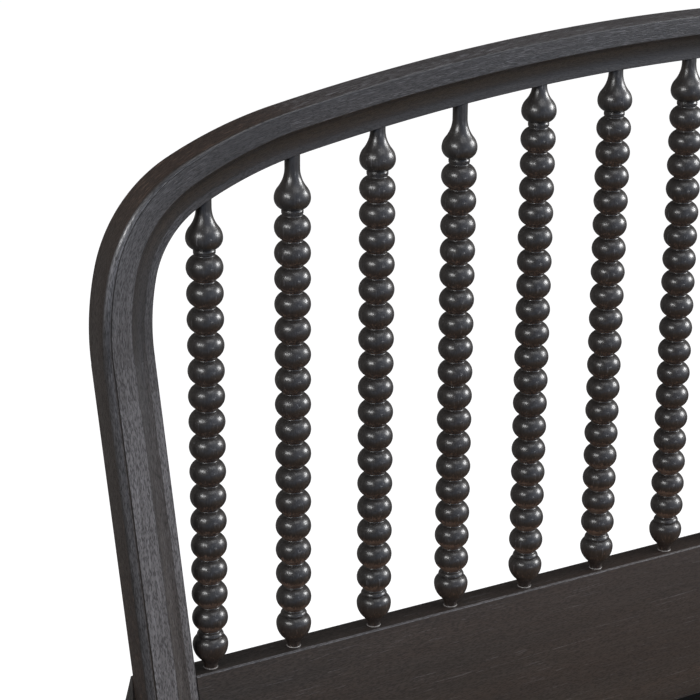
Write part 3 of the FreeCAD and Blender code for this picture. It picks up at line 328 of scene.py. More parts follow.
class HoopLine:
    """Outer line of the hoop's right half, from the crest's top down to the foot of the post."""

    def __init__(self, sizes):
        self.radii = [sizes.crest_radius, sizes.haunch_radius, sizes.shoulder_radius, sizes.swell_radius]
        turn = [sizes.haunch_angle, sizes.shoulder_angle]
        across = (self.radii[1] * math.sin(turn[0])
                  + self.radii[2] * (math.sin(turn[1]) - math.sin(turn[0]))
                  + self.radii[3] * (1 - math.sin(turn[1])))
        crest_end = math.asin((sizes.width / 2 - across) / (self.radii[0] - self.radii[1]))
        self.angles = [0.0, crest_end, *turn, math.pi / 2 + sizes.post_lean]
        self.centres = []
        point = Vector((0, HOOP_Y, sizes.height))
        for radius, start, end in zip(self.radii, self.angles, self.angles[1:]):
            centre = point - self.outward(start) * radius
            self.centres.append(centre)
            point = centre + self.outward(end) * radius
        self.post_top = point
        down = self.along(self.angles[-1])
        self.post_length = (PANEL_BOTTOM - point.z) / down.z
        self.post_foot = point + down * self.post_length
        self.sizes = sizes

    @staticmethod
    def outward(angle):
        return Vector((math.sin(angle), 0, math.cos(angle)))

    @staticmethod
    def along(angle):
        return Vector((math.cos(angle), 0, -math.sin(angle)))

    def joint(self):
        """Outer corner where crest and shoulder meet."""
        return self.centres[0] + self.outward(self.angles[1]) * self.radii[0]

    def shoulder_share(self, angle):
        """Part of the shoulder's length that lies above a slope angle."""
        spans = list(zip(self.radii[1:], self.angles[1:], self.angles[2:]))
        whole = sum(radius * (end - start) for radius, start, end in spans)
        return sum(radius * (min(max(angle, start), end) - start) for radius, start, end in spans) / whole

    def inner_point(self, angle):
        """Point of the shoulder's inner side at a slope angle."""
        index = 1 if angle < self.angles[2] else 2
        widening = self.sizes.post_top_face - self.sizes.crest_face
        face = self.sizes.crest_face + self.shoulder_share(angle) * widening
        return self.centres[index] + self.outward(angle) * (self.radii[index] - face)

    def inner_height(self, x):
        """Height of the hoop's inner side at a distance from the middle."""
        inner = self.radii[0] - self.sizes.crest_face
        if x <= inner * math.sin(self.angles[1]):
            return self.centres[0].z + math.sqrt(inner ** 2 - x ** 2)
        low, high = self.angles[1], self.angles[3]
        for _ in range(50):
            middle = (low + high) / 2
            low, high = (middle, high) if self.inner_point(middle).x < x else (low, middle)
        return self.inner_point(low).z

    def unrolled(self, x, z):
        """Distance along the outer line and depth inwards of a point of the right half."""
        run = 0.0
        for centre, radius, start, end in zip(self.centres, self.radii, self.angles, self.angles[1:]):
            reach = Vector((x - centre.x, 0, z - centre.z))
            turn = math.atan2(reach.x, reach.z)
            if turn <= end:
                return run + radius * (turn - start), radius - reach.length
            run += radius * (end - start)
        below = Vector((x, 0, z)) - Vector((self.post_top.x, 0, self.post_top.z))
        return run + below.dot(self.along(self.angles[-1])), -below.dot(self.outward(self.angles[-1]))

    def rounding(self, run):
        """Radius of the outer front edge at a distance along the outer line."""
        spans = zip(self.radii, self.angles, self.angles[1:])
        reach = [radius * (end - start) for radius, start, end in spans]
        part = min(max((run - reach[0]) / sum(reach[1:]), 0.0), 1.0)
        return self.sizes.crest_round + part * (self.sizes.post_round - self.sizes.crest_round)

    def post_inside(self, height):
        """Distance from the middle to the post's inner side at a height."""
        inward = self.outward(self.angles[-1]) * -1
        top = self.post_top + inward * self.sizes.post_top_face
        foot = self.post_foot + inward * self.sizes.post_foot_face
        return top.x + (foot.x - top.x) * (height - top.z) / (foot.z - top.z)


def arc_points(centre, radius, start, end, steps):
    """Points of an arc after its first one; angles are counted from the first axis."""
    turns = [start + (end - start) * step / steps for step in range(1, steps + 1)]
    return [(centre[0] + radius * math.cos(turn), centre[1] + radius * math.sin(turn)) for turn in turns]


def arc_through(start, end, radius, centre_left, steps):
    """Points after start on the short arc to end, with its centre left or right of the way there."""
    chord = Vector(end) - Vector(start)
    rise = math.sqrt(max(radius ** 2 - (chord.length / 2) ** 2, 0.0))
    left = Vector((-chord.y, chord.x)).normalized()
    centre = (Vector(start) + Vector(end)) / 2 + left * (rise if centre_left else -rise)
    first = math.atan2(start[1] - centre.y, start[0] - centre.x)
    last = math.atan2(end[1] - centre.y, end[0] - centre.x)
    sweep = (last - first + math.pi) % (2 * math.pi) - math.pi
    return arc_points(centre, radius, first, first + sweep, steps)


def crest_widths(sizes):
    """Section at the crest."""
    lip = sizes.crest_face - sizes.crest_lip
    return Widths(sizes.crest_flat, lip, sizes.crest_face, sizes.crest_cove, sizes.crest_round)


def post_widths(sizes, flat, face):
    """Section of a post where its flat and face have these widths."""
    return Widths(flat, face - sizes.post_lip, face, sizes.post_cove, sizes.post_round)


def rim(sizes):
    """Width of the rounded edge with its fine groove, in parts of the rounding."""
    return 1 + GROOVE_WIDTH * sizes.quirk / sizes.post_round


def hoop_section(sizes, widths):
    """Section of the hoop as points (inwards, backwards), starting at the outer side's back edge."""
    flat, lip, face, cove, edge = widths
    front, back = -sizes.thick / 2, sizes.thick / 2
    soft, quirk = sizes.back_round, sizes.quirk * edge / sizes.post_round
    wall, groove = GROOVE_WALL * quirk, GROOVE_WIDTH * quirk
    points = [(0, back - soft), (0, front + edge)]
    points += arc_points((edge, front + edge), edge, math.pi, 1.5 * math.pi, steps=10)
    points += [(edge + wall, front + quirk), (edge + groove - wall, front + quirk), (edge + groove, front)]
    hollow = lip - flat
    radius = (hollow ** 2 + cove ** 2) / (2 * cove)
    steep = math.asin(hollow / radius)
    ease = sizes.face_round
    fall = ease * math.tan((math.pi / 2 - steep) / 2)
    points += [(flat - fall, front)]
    points += arc_points((flat - fall, front + ease), ease, 1.5 * math.pi, 2 * math.pi - steep, steps=4)
    points += arc_through(points[-1], (lip, front + cove), radius, False, steps=14)
    corner = sizes.lip_edge
    points += [(face - corner, front + cove), (face, front + cove + corner), (face, back - soft)]
    points += arc_points((face - soft, back - soft), soft, 0, math.pi / 2, steps=4)
    points += [(soft, back)]
    points += arc_points((soft, back - soft), soft, math.pi / 2, math.pi, steps=4)[:-1]
    return points


def only(obj):
    """Make one object the active and selected one."""
    bpy.ops.object.select_all(action="DESELECT")
    obj.select_set(True)
    bpy.context.view_layer.objects.active = obj


def draw_loop(name, points):
    """New object in edit mode whose ring of vertices runs through the points."""
    bpy.ops.object.select_all(action="DESELECT")
    bpy.ops.mesh.primitive_circle_add(vertices=len(points), radius=0.01, fill_type="NOTHING")
    obj = bpy.context.active_object
    obj.name = obj.data.name = name
    for vertex, point in zip(obj.data.vertices, points):
        vertex.co = point
    bpy.ops.object.mode_set(mode="EDIT")
    bpy.ops.mesh.select_mode(type="VERT")
    bpy.ops.mesh.select_all(action="SELECT")
    return obj


def close_mesh(obj, sharp):
    """Merge doubles, turn faces outwards, leave edit mode and smooth all but sharp edges."""
    bpy.ops.mesh.select_all(action="SELECT")
    bpy.ops.mesh.remove_doubles(threshold=1e-6)
    bpy.ops.mesh.normals_make_consistent(inside=False)
    bpy.ops.object.mode_set(mode="OBJECT")
    only(obj)
    bpy.ops.object.shade_smooth_by_angle(angle=sharp)


def stand_for(obj, node, material):
    """The piece takes the node's place on the bed."""
    obj.data.materials.clear()
    obj.data.materials.append(material)
    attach(obj, BODY)
    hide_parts(node)


def hoop_points(line, section, corner, angle, side):
    """Section set upright on the hoop at an outer corner and slope angle."""
    inward = line.outward(angle) * -1
    return [(side * (corner.x + inward.x * u), HOOP_Y + y, corner.z + inward.z * u) for u, y in section]


def taper_hoop(obj, spread):
    """Move points across the face. Spread gives a point's outer corner, way inwards and new section."""
    for vertex in obj.data.vertices:
        corner, inward, (depth, back) = spread(vertex.co)
        vertex.co = corner + inward * depth + Vector((0, HOOP_Y + back, 0))
    obj.data.update()


def stretched(sizes, depth, back, old, new):
    """Section point after rounding, flat, hollow and lip take their new widths."""
    front, rear = -sizes.thick / 2, sizes.thick / 2 - sizes.back_round
    if depth > old.flat - sizes.face_round and back < rear - NEAR:
        back = front + (back - front) * new.cove / old.cove
    elif back < front + old.edge + NEAR:
        back = front + (back - front) * new.edge / old.edge
    marks = [(0, 0)]
    marks += [(old.edge * rim(sizes), new.edge * rim(sizes))]
    marks += [(old.flat, new.flat), (old.lip, new.lip), (old.face, new.face)]
    for (low, low_new), (high, high_new) in zip(marks, marks[1:]):
        if depth <= high + NEAR:
            return low_new + (depth - low) * (high_new - low_new) / (high - low), back
    return depth + new.face - old.face, back


def blend(first, last, part):
    """Section part of the way between two others."""
    return Widths(*(low + (high - low) * part for low, high in zip(first, last)))


def make_crest(line, sizes):
    """Crest, turned about its centre from joint to joint."""
    section = hoop_section(sizes, crest_widths(sizes))
    half = line.angles[1]
    corner = line.joint()
    obj = draw_loop("crest_rail", hoop_points(line, section, corner, half, -1))
    bpy.ops.mesh.edge_face_add()
    bpy.ops.mesh.spin(steps=CREST_STEPS, angle=-2 * half, center=line.centres[0], axis=(0, 1, 0))
    close_mesh(obj, SAWN_EDGE)
    return obj


def make_shoulder(line, sizes, name, side):
    """Shoulder, turned through its three curves and then widened towards the post."""
    section = hoop_section(sizes, crest_widths(sizes))
    obj = draw_loop(f"shoulder_{name}", hoop_points(line, section, line.joint(), line.angles[1], side))
    bpy.ops.mesh.edge_face_add()
    for index, steps in enumerate(SHOULDER_STEPS, start=1):
        centre = line.centres[index]
        turn = line.angles[index + 1] - line.angles[index]
        bpy.ops.mesh.spin(steps=steps, angle=-side * turn, center=(side * centre.x, HOOP_Y, centre.z),
                          axis=(0, 1, 0))
    close_mesh(obj, SAWN_EDGE)
    old = crest_widths(sizes)
    new = post_widths(sizes, sizes.post_top_flat, sizes.post_top_face)

    def spread(point):
        for index in (1, 2, 3):
            centre = line.centres[index]
            reach = Vector((side * point.x - centre.x, 0, point.z - centre.z))
            turn = math.atan2(reach.x, reach.z)
            if turn <= line.angles[index + 1] + NEAR:
                break
        outward = Vector((side * math.sin(turn), 0, math.cos(turn)))
        corner = Vector((side * centre.x, 0, centre.z)) + outward * line.radii[index]
        widths = blend(old, new, line.shoulder_share(turn))
        depth = line.radii[index] - reach.length
        return corner, outward * -1, stretched(sizes, depth, point.y - HOOP_Y, old, widths)

    taper_hoop(obj, spread)
    return obj


def make_post(line, sizes, name, side):
    """Post, drawn down along its lean and then widened towards its foot."""
    old = post_widths(sizes, sizes.post_top_flat, sizes.post_top_face)
    new = post_widths(sizes, sizes.post_foot_flat, sizes.post_foot_face)
    section = hoop_section(sizes, old)
    lean = line.angles[-1]
    obj = draw_loop(f"post_{name}", hoop_points(line, section, line.post_top, lean, side))
    bpy.ops.mesh.edge_face_add()
    down = line.along(lean)
    down.x *= side
    stretch = down * (line.post_length / POST_STEPS)
    for _ in range(POST_STEPS):
        bpy.ops.mesh.extrude_region_move(TRANSFORM_OT_translate={"value": stretch})
    close_mesh(obj, SAWN_EDGE)
    outward = line.outward(lean)
    outward.x *= side
    top = Vector((side * line.post_top.x, 0, line.post_top.z))

    def spread(point):
        reach = Vector((point.x, 0, point.z)) - top
        run = reach.dot(down)
        widths = blend(old, new, run / line.post_length)
        depth = -reach.dot(outward)
        return top + down * run, outward * -1, stretched(sizes, depth, point.y - HOOP_Y, old, widths)

    taper_hoop(obj, spread)
    return obj


def swell_radius(rise, swell):
    """Radius of an arc that rises, swells and ends upright."""
    return (rise ** 2 + swell ** 2) / (2 * swell)


def ogee(belly, rounding, neck, rise):
    """Round belly that runs through a hollow into an upright neck: hollow's radius and where the two meet."""
    inset = belly - rounding
    hollow = (rise ** 2 + (neck - inset) ** 2 - rounding ** 2) / (2 * (rounding - neck + inset))
    part = rounding / (rounding + hollow)
    return hollow, inset + part * (neck + hollow - inset), part * rise


def bead_count(sizes, height):
    """Whole beads that fit between a spindle's foot and its shortest drop."""
    return math.floor((height - sizes.vase_height - sizes.drop_least) / sizes.pitch)


def spindle_profile(sizes, height, low_side):
    """Half outline of a spindle as points (radius, height above the panel), foot to top."""
    pitch, groove, bead, soft = sizes.pitch, sizes.groove / 2, sizes.bead / 2, sizes.groove_round
    count = bead_count(sizes, height)
    vase, ring, quirk = sizes.vase / 2, sizes.foot_ring / 2, sizes.ring_quirk
    foot = sizes.foot_neck / 2
    tuck = groove + soft - bead
    bead_round = ((pitch / 2) ** 2 + tuck ** 2 - soft ** 2) / (2 * (soft - tuck))
    part = bead_round / (bead_round + soft)
    mouth = pitch / 2 * (1 - part)
    meet = bead - bead_round + part * (groove + soft - bead + bead_round)

    points = [(0, -sizes.tenon), (foot, -sizes.tenon), (foot + sizes.glue, 0.0), (foot, sizes.glue)]
    hollow, turn, span = ogee(vase, sizes.vase_round, foot, sizes.vase_belly)
    points += arc_through((foot, 0.0), (turn, sizes.vase_belly - span), hollow, False, steps=9)[1:]
    points += arc_through(points[-1], (vase, sizes.vase_belly), sizes.vase_round, True, steps=8)
    edge = (ring - quirk, sizes.vase_height - sizes.foot_ring_height)
    swell = swell_radius(edge[1] - sizes.vase_belly, vase - edge[0])
    points += arc_through(points[-1], edge, swell, True, steps=8)
    points.append((ring, edge[1] + quirk))
    ring_round = 0.8 * sizes.foot_ring_height
    points += arc_through(points[-1], (meet, sizes.vase_height - mouth), ring_round, True, steps=7)
    for number in range(count):
        start = sizes.vase_height + number * pitch
        points += arc_through(points[-1], (meet, start + mouth), soft, False, steps=5)
        points += arc_through(points[-1], (meet, start + pitch - mouth), bead_round, True, steps=14)
    last = sizes.vase_height + count * pitch
    points += arc_through(points[-1], (meet, last + mouth), soft, False, steps=5)
    top_ring, ring_low = sizes.drop_ring / 2, last + sizes.drop_ring_lift
    ring_high = ring_low + sizes.drop_ring_height
    ring_round = 0.7 * sizes.drop_ring_height
    ring_side = top_ring - quirk
    points += arc_through((ring_side, ring_low), (ring_side, ring_high), ring_round, True, steps=6)
    notch_depth = 1.4 * quirk
    notch = (top_ring - notch_depth, ring_high + quirk)
    points.append(notch)
    middle = last + sizes.drop_belly
    swell = swell_radius(middle - notch[1], bead - notch[0])
    points += arc_through(notch, (bead, middle), swell, True, steps=9)
    neck = sizes.drop_neck / 2
    rise = min(sizes.drop_taper, low_side - middle)
    hollow, turn, span = ogee(bead, sizes.drop_round, neck, rise)
    points += arc_through((bead, middle), (turn, middle + span), sizes.drop_round, True, steps=9)
    points += arc_through(points[-1], (neck, middle + rise), hollow, False, steps=10)
    points += [(neck, height + sizes.tenon), (0, height + sizes.tenon)]
    return points


def make_spindle(line, sizes, node):
    """Spindle turned from its outline, and the number of its beads."""
    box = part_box(node)
    x = (box[0].x + box[1].x) / 2
    height = line.inner_height(abs(x)) - PANEL_TOP
    low_side = line.inner_height(abs(x) + sizes.drop_neck / 2) - PANEL_TOP
    profile = spindle_profile(sizes, height, low_side)
    outline = [(x + reach, HOOP_Y, PANEL_TOP + rise) for reach, rise in profile]
    obj = draw_loop(node.replace("spindle", "turned_spindle"), outline)
    bpy.ops.mesh.select_all(action="DESELECT")
    mesh = bmesh.from_edit_mesh(obj.data)
    for edge in mesh.edges:
        edge.select = all(abs(vertex.co.x - x) < NEAR for vertex in edge.verts)
    bpy.ops.mesh.select_mode(type="EDGE")
    bpy.ops.mesh.delete(type="EDGE_FACE")
    bpy.ops.mesh.select_mode(type="VERT")
    bpy.ops.mesh.select_all(action="SELECT")
    bpy.ops.mesh.spin(steps=sizes.steps, angle=2 * math.pi, center=(x, HOOP_Y, 0), axis=(0, 0, 1))
    close_mesh(obj, TURNED_EDGE)
    return obj, bead_count(sizes, height)


def make_panel(line, sizes):
    """Plank under the spindles with softly rounded long edges."""
    low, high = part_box("headboard_panel")
    low.y, high.y = HOOP_Y - sizes.front, HOOP_Y + sizes.back
    bpy.ops.object.select_all(action="DESELECT")
    bpy.ops.mesh.primitive_cube_add(size=1, location=(low + high) / 2, scale=high - low)
    obj = bpy.context.active_object
    obj.name = obj.data.name = "panel_plank"
    bpy.ops.object.transform_apply(location=True, rotation=False, scale=True)
    for vertex in obj.data.vertices:
        vertex.co.x = math.copysign(line.post_inside(vertex.co.z) - sizes.gap, vertex.co.x)
    bpy.ops.object.mode_set(mode="EDIT")
    bpy.ops.mesh.select_all(action="DESELECT")
    mesh = bmesh.from_edit_mesh(obj.data)
    for edge in mesh.edges:
        edge.select = abs(edge.verts[0].co.x - edge.verts[1].co.x) > high.x
    bmesh.update_edit_mesh(obj.data)
    bpy.ops.mesh.bevel(offset=sizes.edge, segments=5, profile=0.5)
    close_mesh(obj, SAWN_EDGE)
    return obj


def add_node(tree, kind, inputs=None, **choices):
    """Node with its settings, its sockets filled by numbers or linked to other sockets."""
    item = tree.nodes.new(kind)
    for key, value in choices.items():
        setattr(item, key, value)
    for socket, value in (inputs or {}).items():
        if isinstance(value, bpy.types.NodeSocket):
            tree.links.new(value, item.inputs[socket])
        else:
            item.inputs[socket].default_value = value
    return item


def maths(tree, operation, first, second=0.0):
    return add_node(tree, "ShaderNodeMath", {0: first, 1: second}, operation=operation).outputs[0]


def times(tree, value, factor):
    return maths(tree, "MULTIPLY", value, factor)


def ramp(tree, value, low, high, start=0.0, end=1.0):
    """Value brought from low..high to start..end with soft ends."""
    item = add_node(tree, "ShaderNodeMapRange", {"Value": value, "From Min": low, "From Max": high,
                                                 "To Min": start, "To Max": end},
                    interpolation_type="SMOOTHSTEP")
    return item.outputs["Result"]


def mixed(tree, part, first, second):
    """Colour between two colours."""
    item = add_node(tree, "ShaderNodeMix", {"Factor": part}, data_type="RGBA")
    for socket, value in zip(MIX_COLOURS, (first, second)):
        if isinstance(value, bpy.types.NodeSocket):
            tree.links.new(value, item.inputs[socket])
        else:
            item.inputs[socket].default_value = (*value, 1)
    return item.outputs[MIX_RESULT]


def noise(tree, vector, seed, detail=3.0, roughness=0.55):
    item = add_node(tree, "ShaderNodeTexNoise", {"Vector": vector, "W": seed, "Scale": 1.0, "Detail": detail,
                                                 "Roughness": roughness}, noise_dimensions="4D")
    return item.outputs["Fac"]


def scaled(tree, vector, along, across):
    """Coordinates in parts of a pattern's size, given in parts per metre."""
    parts = (along, across, across)
    item = add_node(tree, "ShaderNodeVectorMath", {0: vector, 1: parts}, operation="MULTIPLY")
    return item.outputs[0]


def new_group(name, inputs, outputs):
    """Empty shader group with its sockets, and its inner input and output nodes."""
    group = bpy.data.node_groups.new(name, "ShaderNodeTree")
    for direction, sockets in (("INPUT", inputs), ("OUTPUT", outputs)):
        for socket, kind in sockets:
            group.interface.new_socket(socket, in_out=direction, socket_type=f"NodeSocket{kind}")
    return group, group.nodes.new("NodeGroupInput").outputs, group.nodes.new("NodeGroupOutput").inputs


def open_grain_group():
    """Grain of an open-pored wood along the first axis."""
    outputs = ("Tone", "Streak", "Line", "Dash", "Pore", "Height")
    group, given, result = new_group("open_grain", [("Vector", "Vector"), ("Seed", "Float")],
                                     [(name, "Float") for name in outputs])
    bend = noise(group, scaled(group, given["Vector"], along=3.5, across=10), given["Seed"], 2.0)
    width = (0.0, 0.022, 0.022)
    sway = add_node(group, "ShaderNodeVectorMath", {0: width, "Scale": bend}, operation="SCALE").outputs[0]
    bent = add_node(group, "ShaderNodeVectorMath", {0: given["Vector"], 1: sway}, operation="ADD").outputs[0]

    def pattern(along, across, seed, low, high, detail, roughness=0.55):
        """Noise with so many parts per metre along and across the grain, faded in between two levels."""
        place = scaled(group, bent, along, across)
        return ramp(group, noise(group, place, seed, detail, roughness), low, high)

    seed = given["Seed"]
    tone = pattern(along=2.2, across=26, seed=seed, low=0.32, high=0.70, detail=3.0)
    streak = pattern(along=8, across=330, seed=seed, low=0.36, high=0.70, detail=4.0, roughness=0.6)
    band = pattern(along=6, across=110, seed=seed, low=0.28, high=0.58, detail=2.0)
    dash = pattern(along=70, across=1200, seed=seed, low=0.53, high=0.64, detail=1.0, roughness=0.5)
    dash = times(group, dash, band)
    other = maths(group, "ADD", seed, 20.0)
    pore = pattern(along=170, across=950, seed=other, low=0.45, high=0.60, detail=1.0, roughness=0.5)
    line = pattern(along=11, across=620, seed=other, low=0.62, high=0.72, detail=2.0, roughness=0.5)
    height = maths(group, "SUBTRACT", times(group, streak, 0.4), pore)
    height = maths(group, "ADD", height, times(group, dash, 0.5))
    for name, value in zip(outputs, (tone, streak, line, dash, pore, height)):
        group.links.new(value, result[name])
    return group


def rubbed_group():
    """Mask of rubbed places and of painted warm bounce light: a stored value broken up by fine noise along
    the grain.
    """
    group, given, result = new_group(
        "rubbed", [("Vector", "Vector"), ("Wear", "Float"), ("Seed", "Float")], [("Mask", "Float")])
    patch = noise(group, scaled(group, given["Vector"], along=60, across=620), given["Seed"], 3.0, 0.6)
    patch = times(group, maths(group, "SUBTRACT", patch, 0.5), 1.6)
    reach = maths(group, "ADD", given["Wear"], patch)
    mask = ramp(group, reach, 0.40, 0.72)
    group.links.new(times(group, mask, ramp(group, given["Wear"], 0.02, 0.2)), result["Mask"])
    return group


def shared_group(name, make):
    """Node group by its name, made when it is first needed."""
    return bpy.data.node_groups.get(name) or make()


def new_material(name):
    material = bpy.data.materials.new(name)
    material.use_nodes = True
    return material, material.node_tree, material.node_tree.nodes["Principled BSDF"]


def grain_at(tree, turn, seed):
    """Place with its first axis along the grain, and the grain there. No turn means a bent piece."""
    if turn is None:
        turned = add_node(tree, "ShaderNodeAttribute", attribute_name="grain").outputs["Vector"]
    else:
        place = add_node(tree, "ShaderNodeTexCoord").outputs["Object"]
        turned = add_node(tree, "ShaderNodeMapping", {"Vector": place, "Rotation": turn}).outputs["Vector"]
    grain = add_node(tree, "ShaderNodeGroup", node_tree=shared_group("open_grain", open_grain_group))
    tree.links.new(turned, grain.inputs["Vector"])
    grain.inputs["Seed"].default_value = seed
    return turned, grain.outputs


def stored(tree, name):
    """Value that a piece's mesh holds under a name."""
    return add_node(tree, "ShaderNodeAttribute", attribute_name=name).outputs["Fac"]


def relief(tree, shader, height, strength, distance):
    """Bump of a height over the surface."""
    bump = add_node(tree, "ShaderNodeBump", {"Height": height, "Strength": strength, "Distance": distance})
    tree.links.new(bump.outputs["Normal"], shader.inputs["Normal"])


def stained_wood(name, turn, seed, marked=True, bumps=0.30, dashes=0.2, tones=0.15, lines=0.0):
    """Charcoal stain over open pores. A marked piece has its own bare, rubbed and glued places, and painted
    sheen, highlights and warm bounce light.
    """
    finish = settings("bed_wood")
    material, tree, shader = new_material(name)
    place, grain = grain_at(tree, turn, seed)
    base = mixed(tree, times(tree, grain["Streak"], finish.streaks), finish.stain, finish.streak)
    base = mixed(tree, times(tree, grain["Tone"], tones), base, finish.warm)
    base = mixed(tree, times(tree, grain["Line"], lines), base, finish.dash)
    rough = maths(tree, "ADD", times(tree, grain["Pore"], finish.pore_dull), finish.gloss)
    if marked:
        # The stored face value mixes in the bare grey: sanding with its painted blue sheen, and painted sheen
        # and highlights on rounded edges
        face = stored(tree, "face")
        grey = mixed(tree, ramp(tree, grain["Streak"], 0.0, 1.0, 0.62, 1.0), base, finish.bare)
        base = mixed(tree, face, base, grey)
        rough = maths(tree, "ADD", rough, times(tree, face, finish.bare_dull))
    base = mixed(tree, times(tree, grain["Pore"], finish.pores), base, finish.pore)
    if marked:
        pale = ramp(tree, face, 0.08, 0.18, 0.0, dashes)
        base = mixed(tree, times(tree, grain["Dash"], pale), base, finish.dash)
        rubbed = add_node(tree, "ShaderNodeGroup", node_tree=shared_group("rubbed", rubbed_group))
        tree.links.new(place, rubbed.inputs["Vector"])
        # The stored value browns the wood and dulls its coat: rubbing on the hoop, painted warm bounce light
        # under the beads and at the panel's right end
        wear_and_painted_light = stored(tree, "wear_and_painted_light")
        base = mixed(tree, wear_and_painted_light, base, finish.warm)
        tree.links.new(wear_and_painted_light, rubbed.inputs["Wear"])
        rubbed.inputs["Seed"].default_value = seed
        base = mixed(tree, rubbed.outputs["Mask"], base, finish.rub)
        base = mixed(tree, stored(tree, "glue"), base, finish.glue)
    tree.links.new(base, shader.inputs["Base Color"])
    tree.links.new(rough, shader.inputs["Roughness"])
    coat = ramp(tree, grain["Pore"], 0.0, 1.0, finish.coat, finish.pore_coat * finish.coat)
    if marked:
        coat = times(tree, coat, ramp(tree, wear_and_painted_light, 0.0, 0.4, 1.0, finish.worn_coat))
    tree.links.new(coat, shader.inputs["Coat Weight"])
    shader.inputs["Coat Roughness"].default_value = finish.coat_gloss
    relief(tree, shader, grain["Height"], bumps, finish.pore_depth)
    return material


def plain_wood(name, turn, seed):
    """Planed, unfinished wood with darker lines along its grain."""
    finish = settings("bed_wood")
    material, tree, shader = new_material(name)
    _, grain = grain_at(tree, turn, seed)
    tones, streaks, pores, planed = 0.75, 0.35, 0.15, 0.52
    base = mixed(tree, times(tree, grain["Tone"], tones), finish.slat, finish.slat_line)
    base = mixed(tree, times(tree, grain["Streak"], streaks), base, finish.slat_line)
    base = mixed(tree, times(tree, grain["Pore"], pores), base, finish.warm)
    tree.links.new(base, shader.inputs["Base Color"])
    rough = maths(tree, "ADD", times(tree, grain["Pore"], pores), planed)
    tree.links.new(rough, shader.inputs["Roughness"])
    relief(tree, shader, grain["Height"], strength=0.22, distance=0.0004)
    return material


def plated_steel(name):
    """Zinc-plated steel with a faint spangle and fine scratches."""
    finish = settings("bed_wood")
    material, tree, shader = new_material(name)
    place = add_node(tree, "ShaderNodeTexCoord").outputs["Object"]
    spangle = noise(tree, scaled(tree, place, along=240, across=240), seed=3.1, detail=2.0)
    scratch = noise(tree, scaled(tree, place, along=90, across=2400), seed=5.7, detail=2.0)
    dulling = 0.6
    dull = [part * dulling for part in finish.steel]
    base = mixed(tree, ramp(tree, spangle, 0.35, 0.7), dull, finish.steel)
    tree.links.new(base, shader.inputs["Base Color"])
    shader.inputs["Metallic"].default_value = 1.0
    tree.links.new(ramp(tree, scratch, 0.3, 0.7, 0.24, 0.46), shader.inputs["Roughness"])
    relief(tree, shader, scratch, strength=0.12, distance=0.0002)
    return material


def grained_plastic(name):
    """Dark plastic with a fine moulded grain."""
    finish = settings("bed_wood")
    material, tree, shader = new_material(name)
    place = add_node(tree, "ShaderNodeTexCoord").outputs["Object"]
    grain = noise(tree, scaled(tree, place, along=1600, across=1600), seed=2.4, detail=2.0)
    scuff = noise(tree, scaled(tree, place, along=60, across=60), seed=8.8, detail=3.0)
    scuff = ramp(tree, scuff, 0.55, 0.75)
    paling = 2.2
    worn = [part * paling for part in finish.plastic]
    tree.links.new(mixed(tree, scuff, finish.plastic, worn), shader.inputs["Base Color"])
    tree.links.new(ramp(tree, scuff, 0.0, 1.0, 0.48, 0.66), shader.inputs["Roughness"])
    relief(tree, shader, grain, strength=0.3, distance=0.0002)
    return material


def floor_material(studio):
    """Pale floor that the camera sees nearly white and that still shows the bed's shadow."""
    material, tree, shader = new_material("pale_floor")
    shader.inputs["Roughness"].default_value = 0.9
    place = add_node(tree, "ShaderNodeTexCoord").outputs["Object"]
    parts = add_node(tree, "ShaderNodeSeparateXYZ", {"Vector": place}).outputs
    path = add_node(tree, "ShaderNodeLightPath").outputs
    in_front, behind, beside = (0.5, -1.0), (1.2, 2.2), (0.1, 0.9)
    dimming = 4 * studio.mirror_back
    dim = [part * dimming for part in studio.floor]
    tree.links.new(mixed(tree, path["Is Glossy Ray"], studio.floor, dim), shader.inputs["Base Color"])
    tint = mixed(tree, ramp(tree, parts["Y"], *in_front), studio.back_tint, studio.front_tint)
    tree.links.new(mixed(tree, path["Is Glossy Ray"], (1, 1, 1), tint), shader.inputs["Emission Color"])
    front_white = ramp(tree, parts["Y"], *in_front, 0.0, studio.mirror_front / 2)
    back_white = ramp(tree, parts["Y"], *behind, 0.0, studio.mirror_side)
    mirrored = times(tree, path["Is Glossy Ray"], maths(tree, "ADD", front_white, back_white))
    half = [(high - low) / 2 for low, high in zip(*CAD_BOX)]
    reach = [maths(tree, "SUBTRACT", maths(tree, "ABSOLUTE", parts[axis]), half[axis]) for axis in (0, 1)]
    lift = ramp(tree, maths(tree, "MAXIMUM", *reach), *beside, studio.near_lift, studio.floor_lift)
    seen = times(tree, path["Is Camera Ray"], lift)
    tree.links.new(maths(tree, "ADD", seen, mirrored), shader.inputs["Emission Strength"])
    return material


def mark_points(obj, name, amount):
    """Store for each vertex how far its place is glued, rubbed and browned by painted warm bounce light."""
    layer = obj.data.attributes.new(name, "FLOAT", "POINT")
    layer.data.foreach_set("value", [amount(vertex.co) for vertex in obj.data.vertices])


def mark_grain(obj, line):
    """Store for each vertex its place along the hoop, across it and through it."""
    places = []
    for vertex in obj.data.vertices:
        run, depth = line.unrolled(abs(vertex.co.x), vertex.co.z)
        places += (math.copysign(run, vertex.co.x), depth, vertex.co.y)
    layer = obj.data.attributes.new("grain", "FLOAT_VECTOR", "POINT")
    layer.data.foreach_set("vector", places)


def mark_faces(obj, amount):
    """Store for each face how grey its wood is made by sanding and by painted sheen and highlights."""
    layer = obj.data.attributes.new("face", "FLOAT", "FACE")
    layer.data.foreach_set("value", [amount(face.normal, face.center) for face in obj.data.polygons])


def fade(value, reach):
    """Soft change from 0 at the first end of a reach to 1 at its second end."""
    start, end = reach
    part = min(max((value - start) / (end - start), 0.0), 1.0)
    return part * part * (3 - 2 * part)


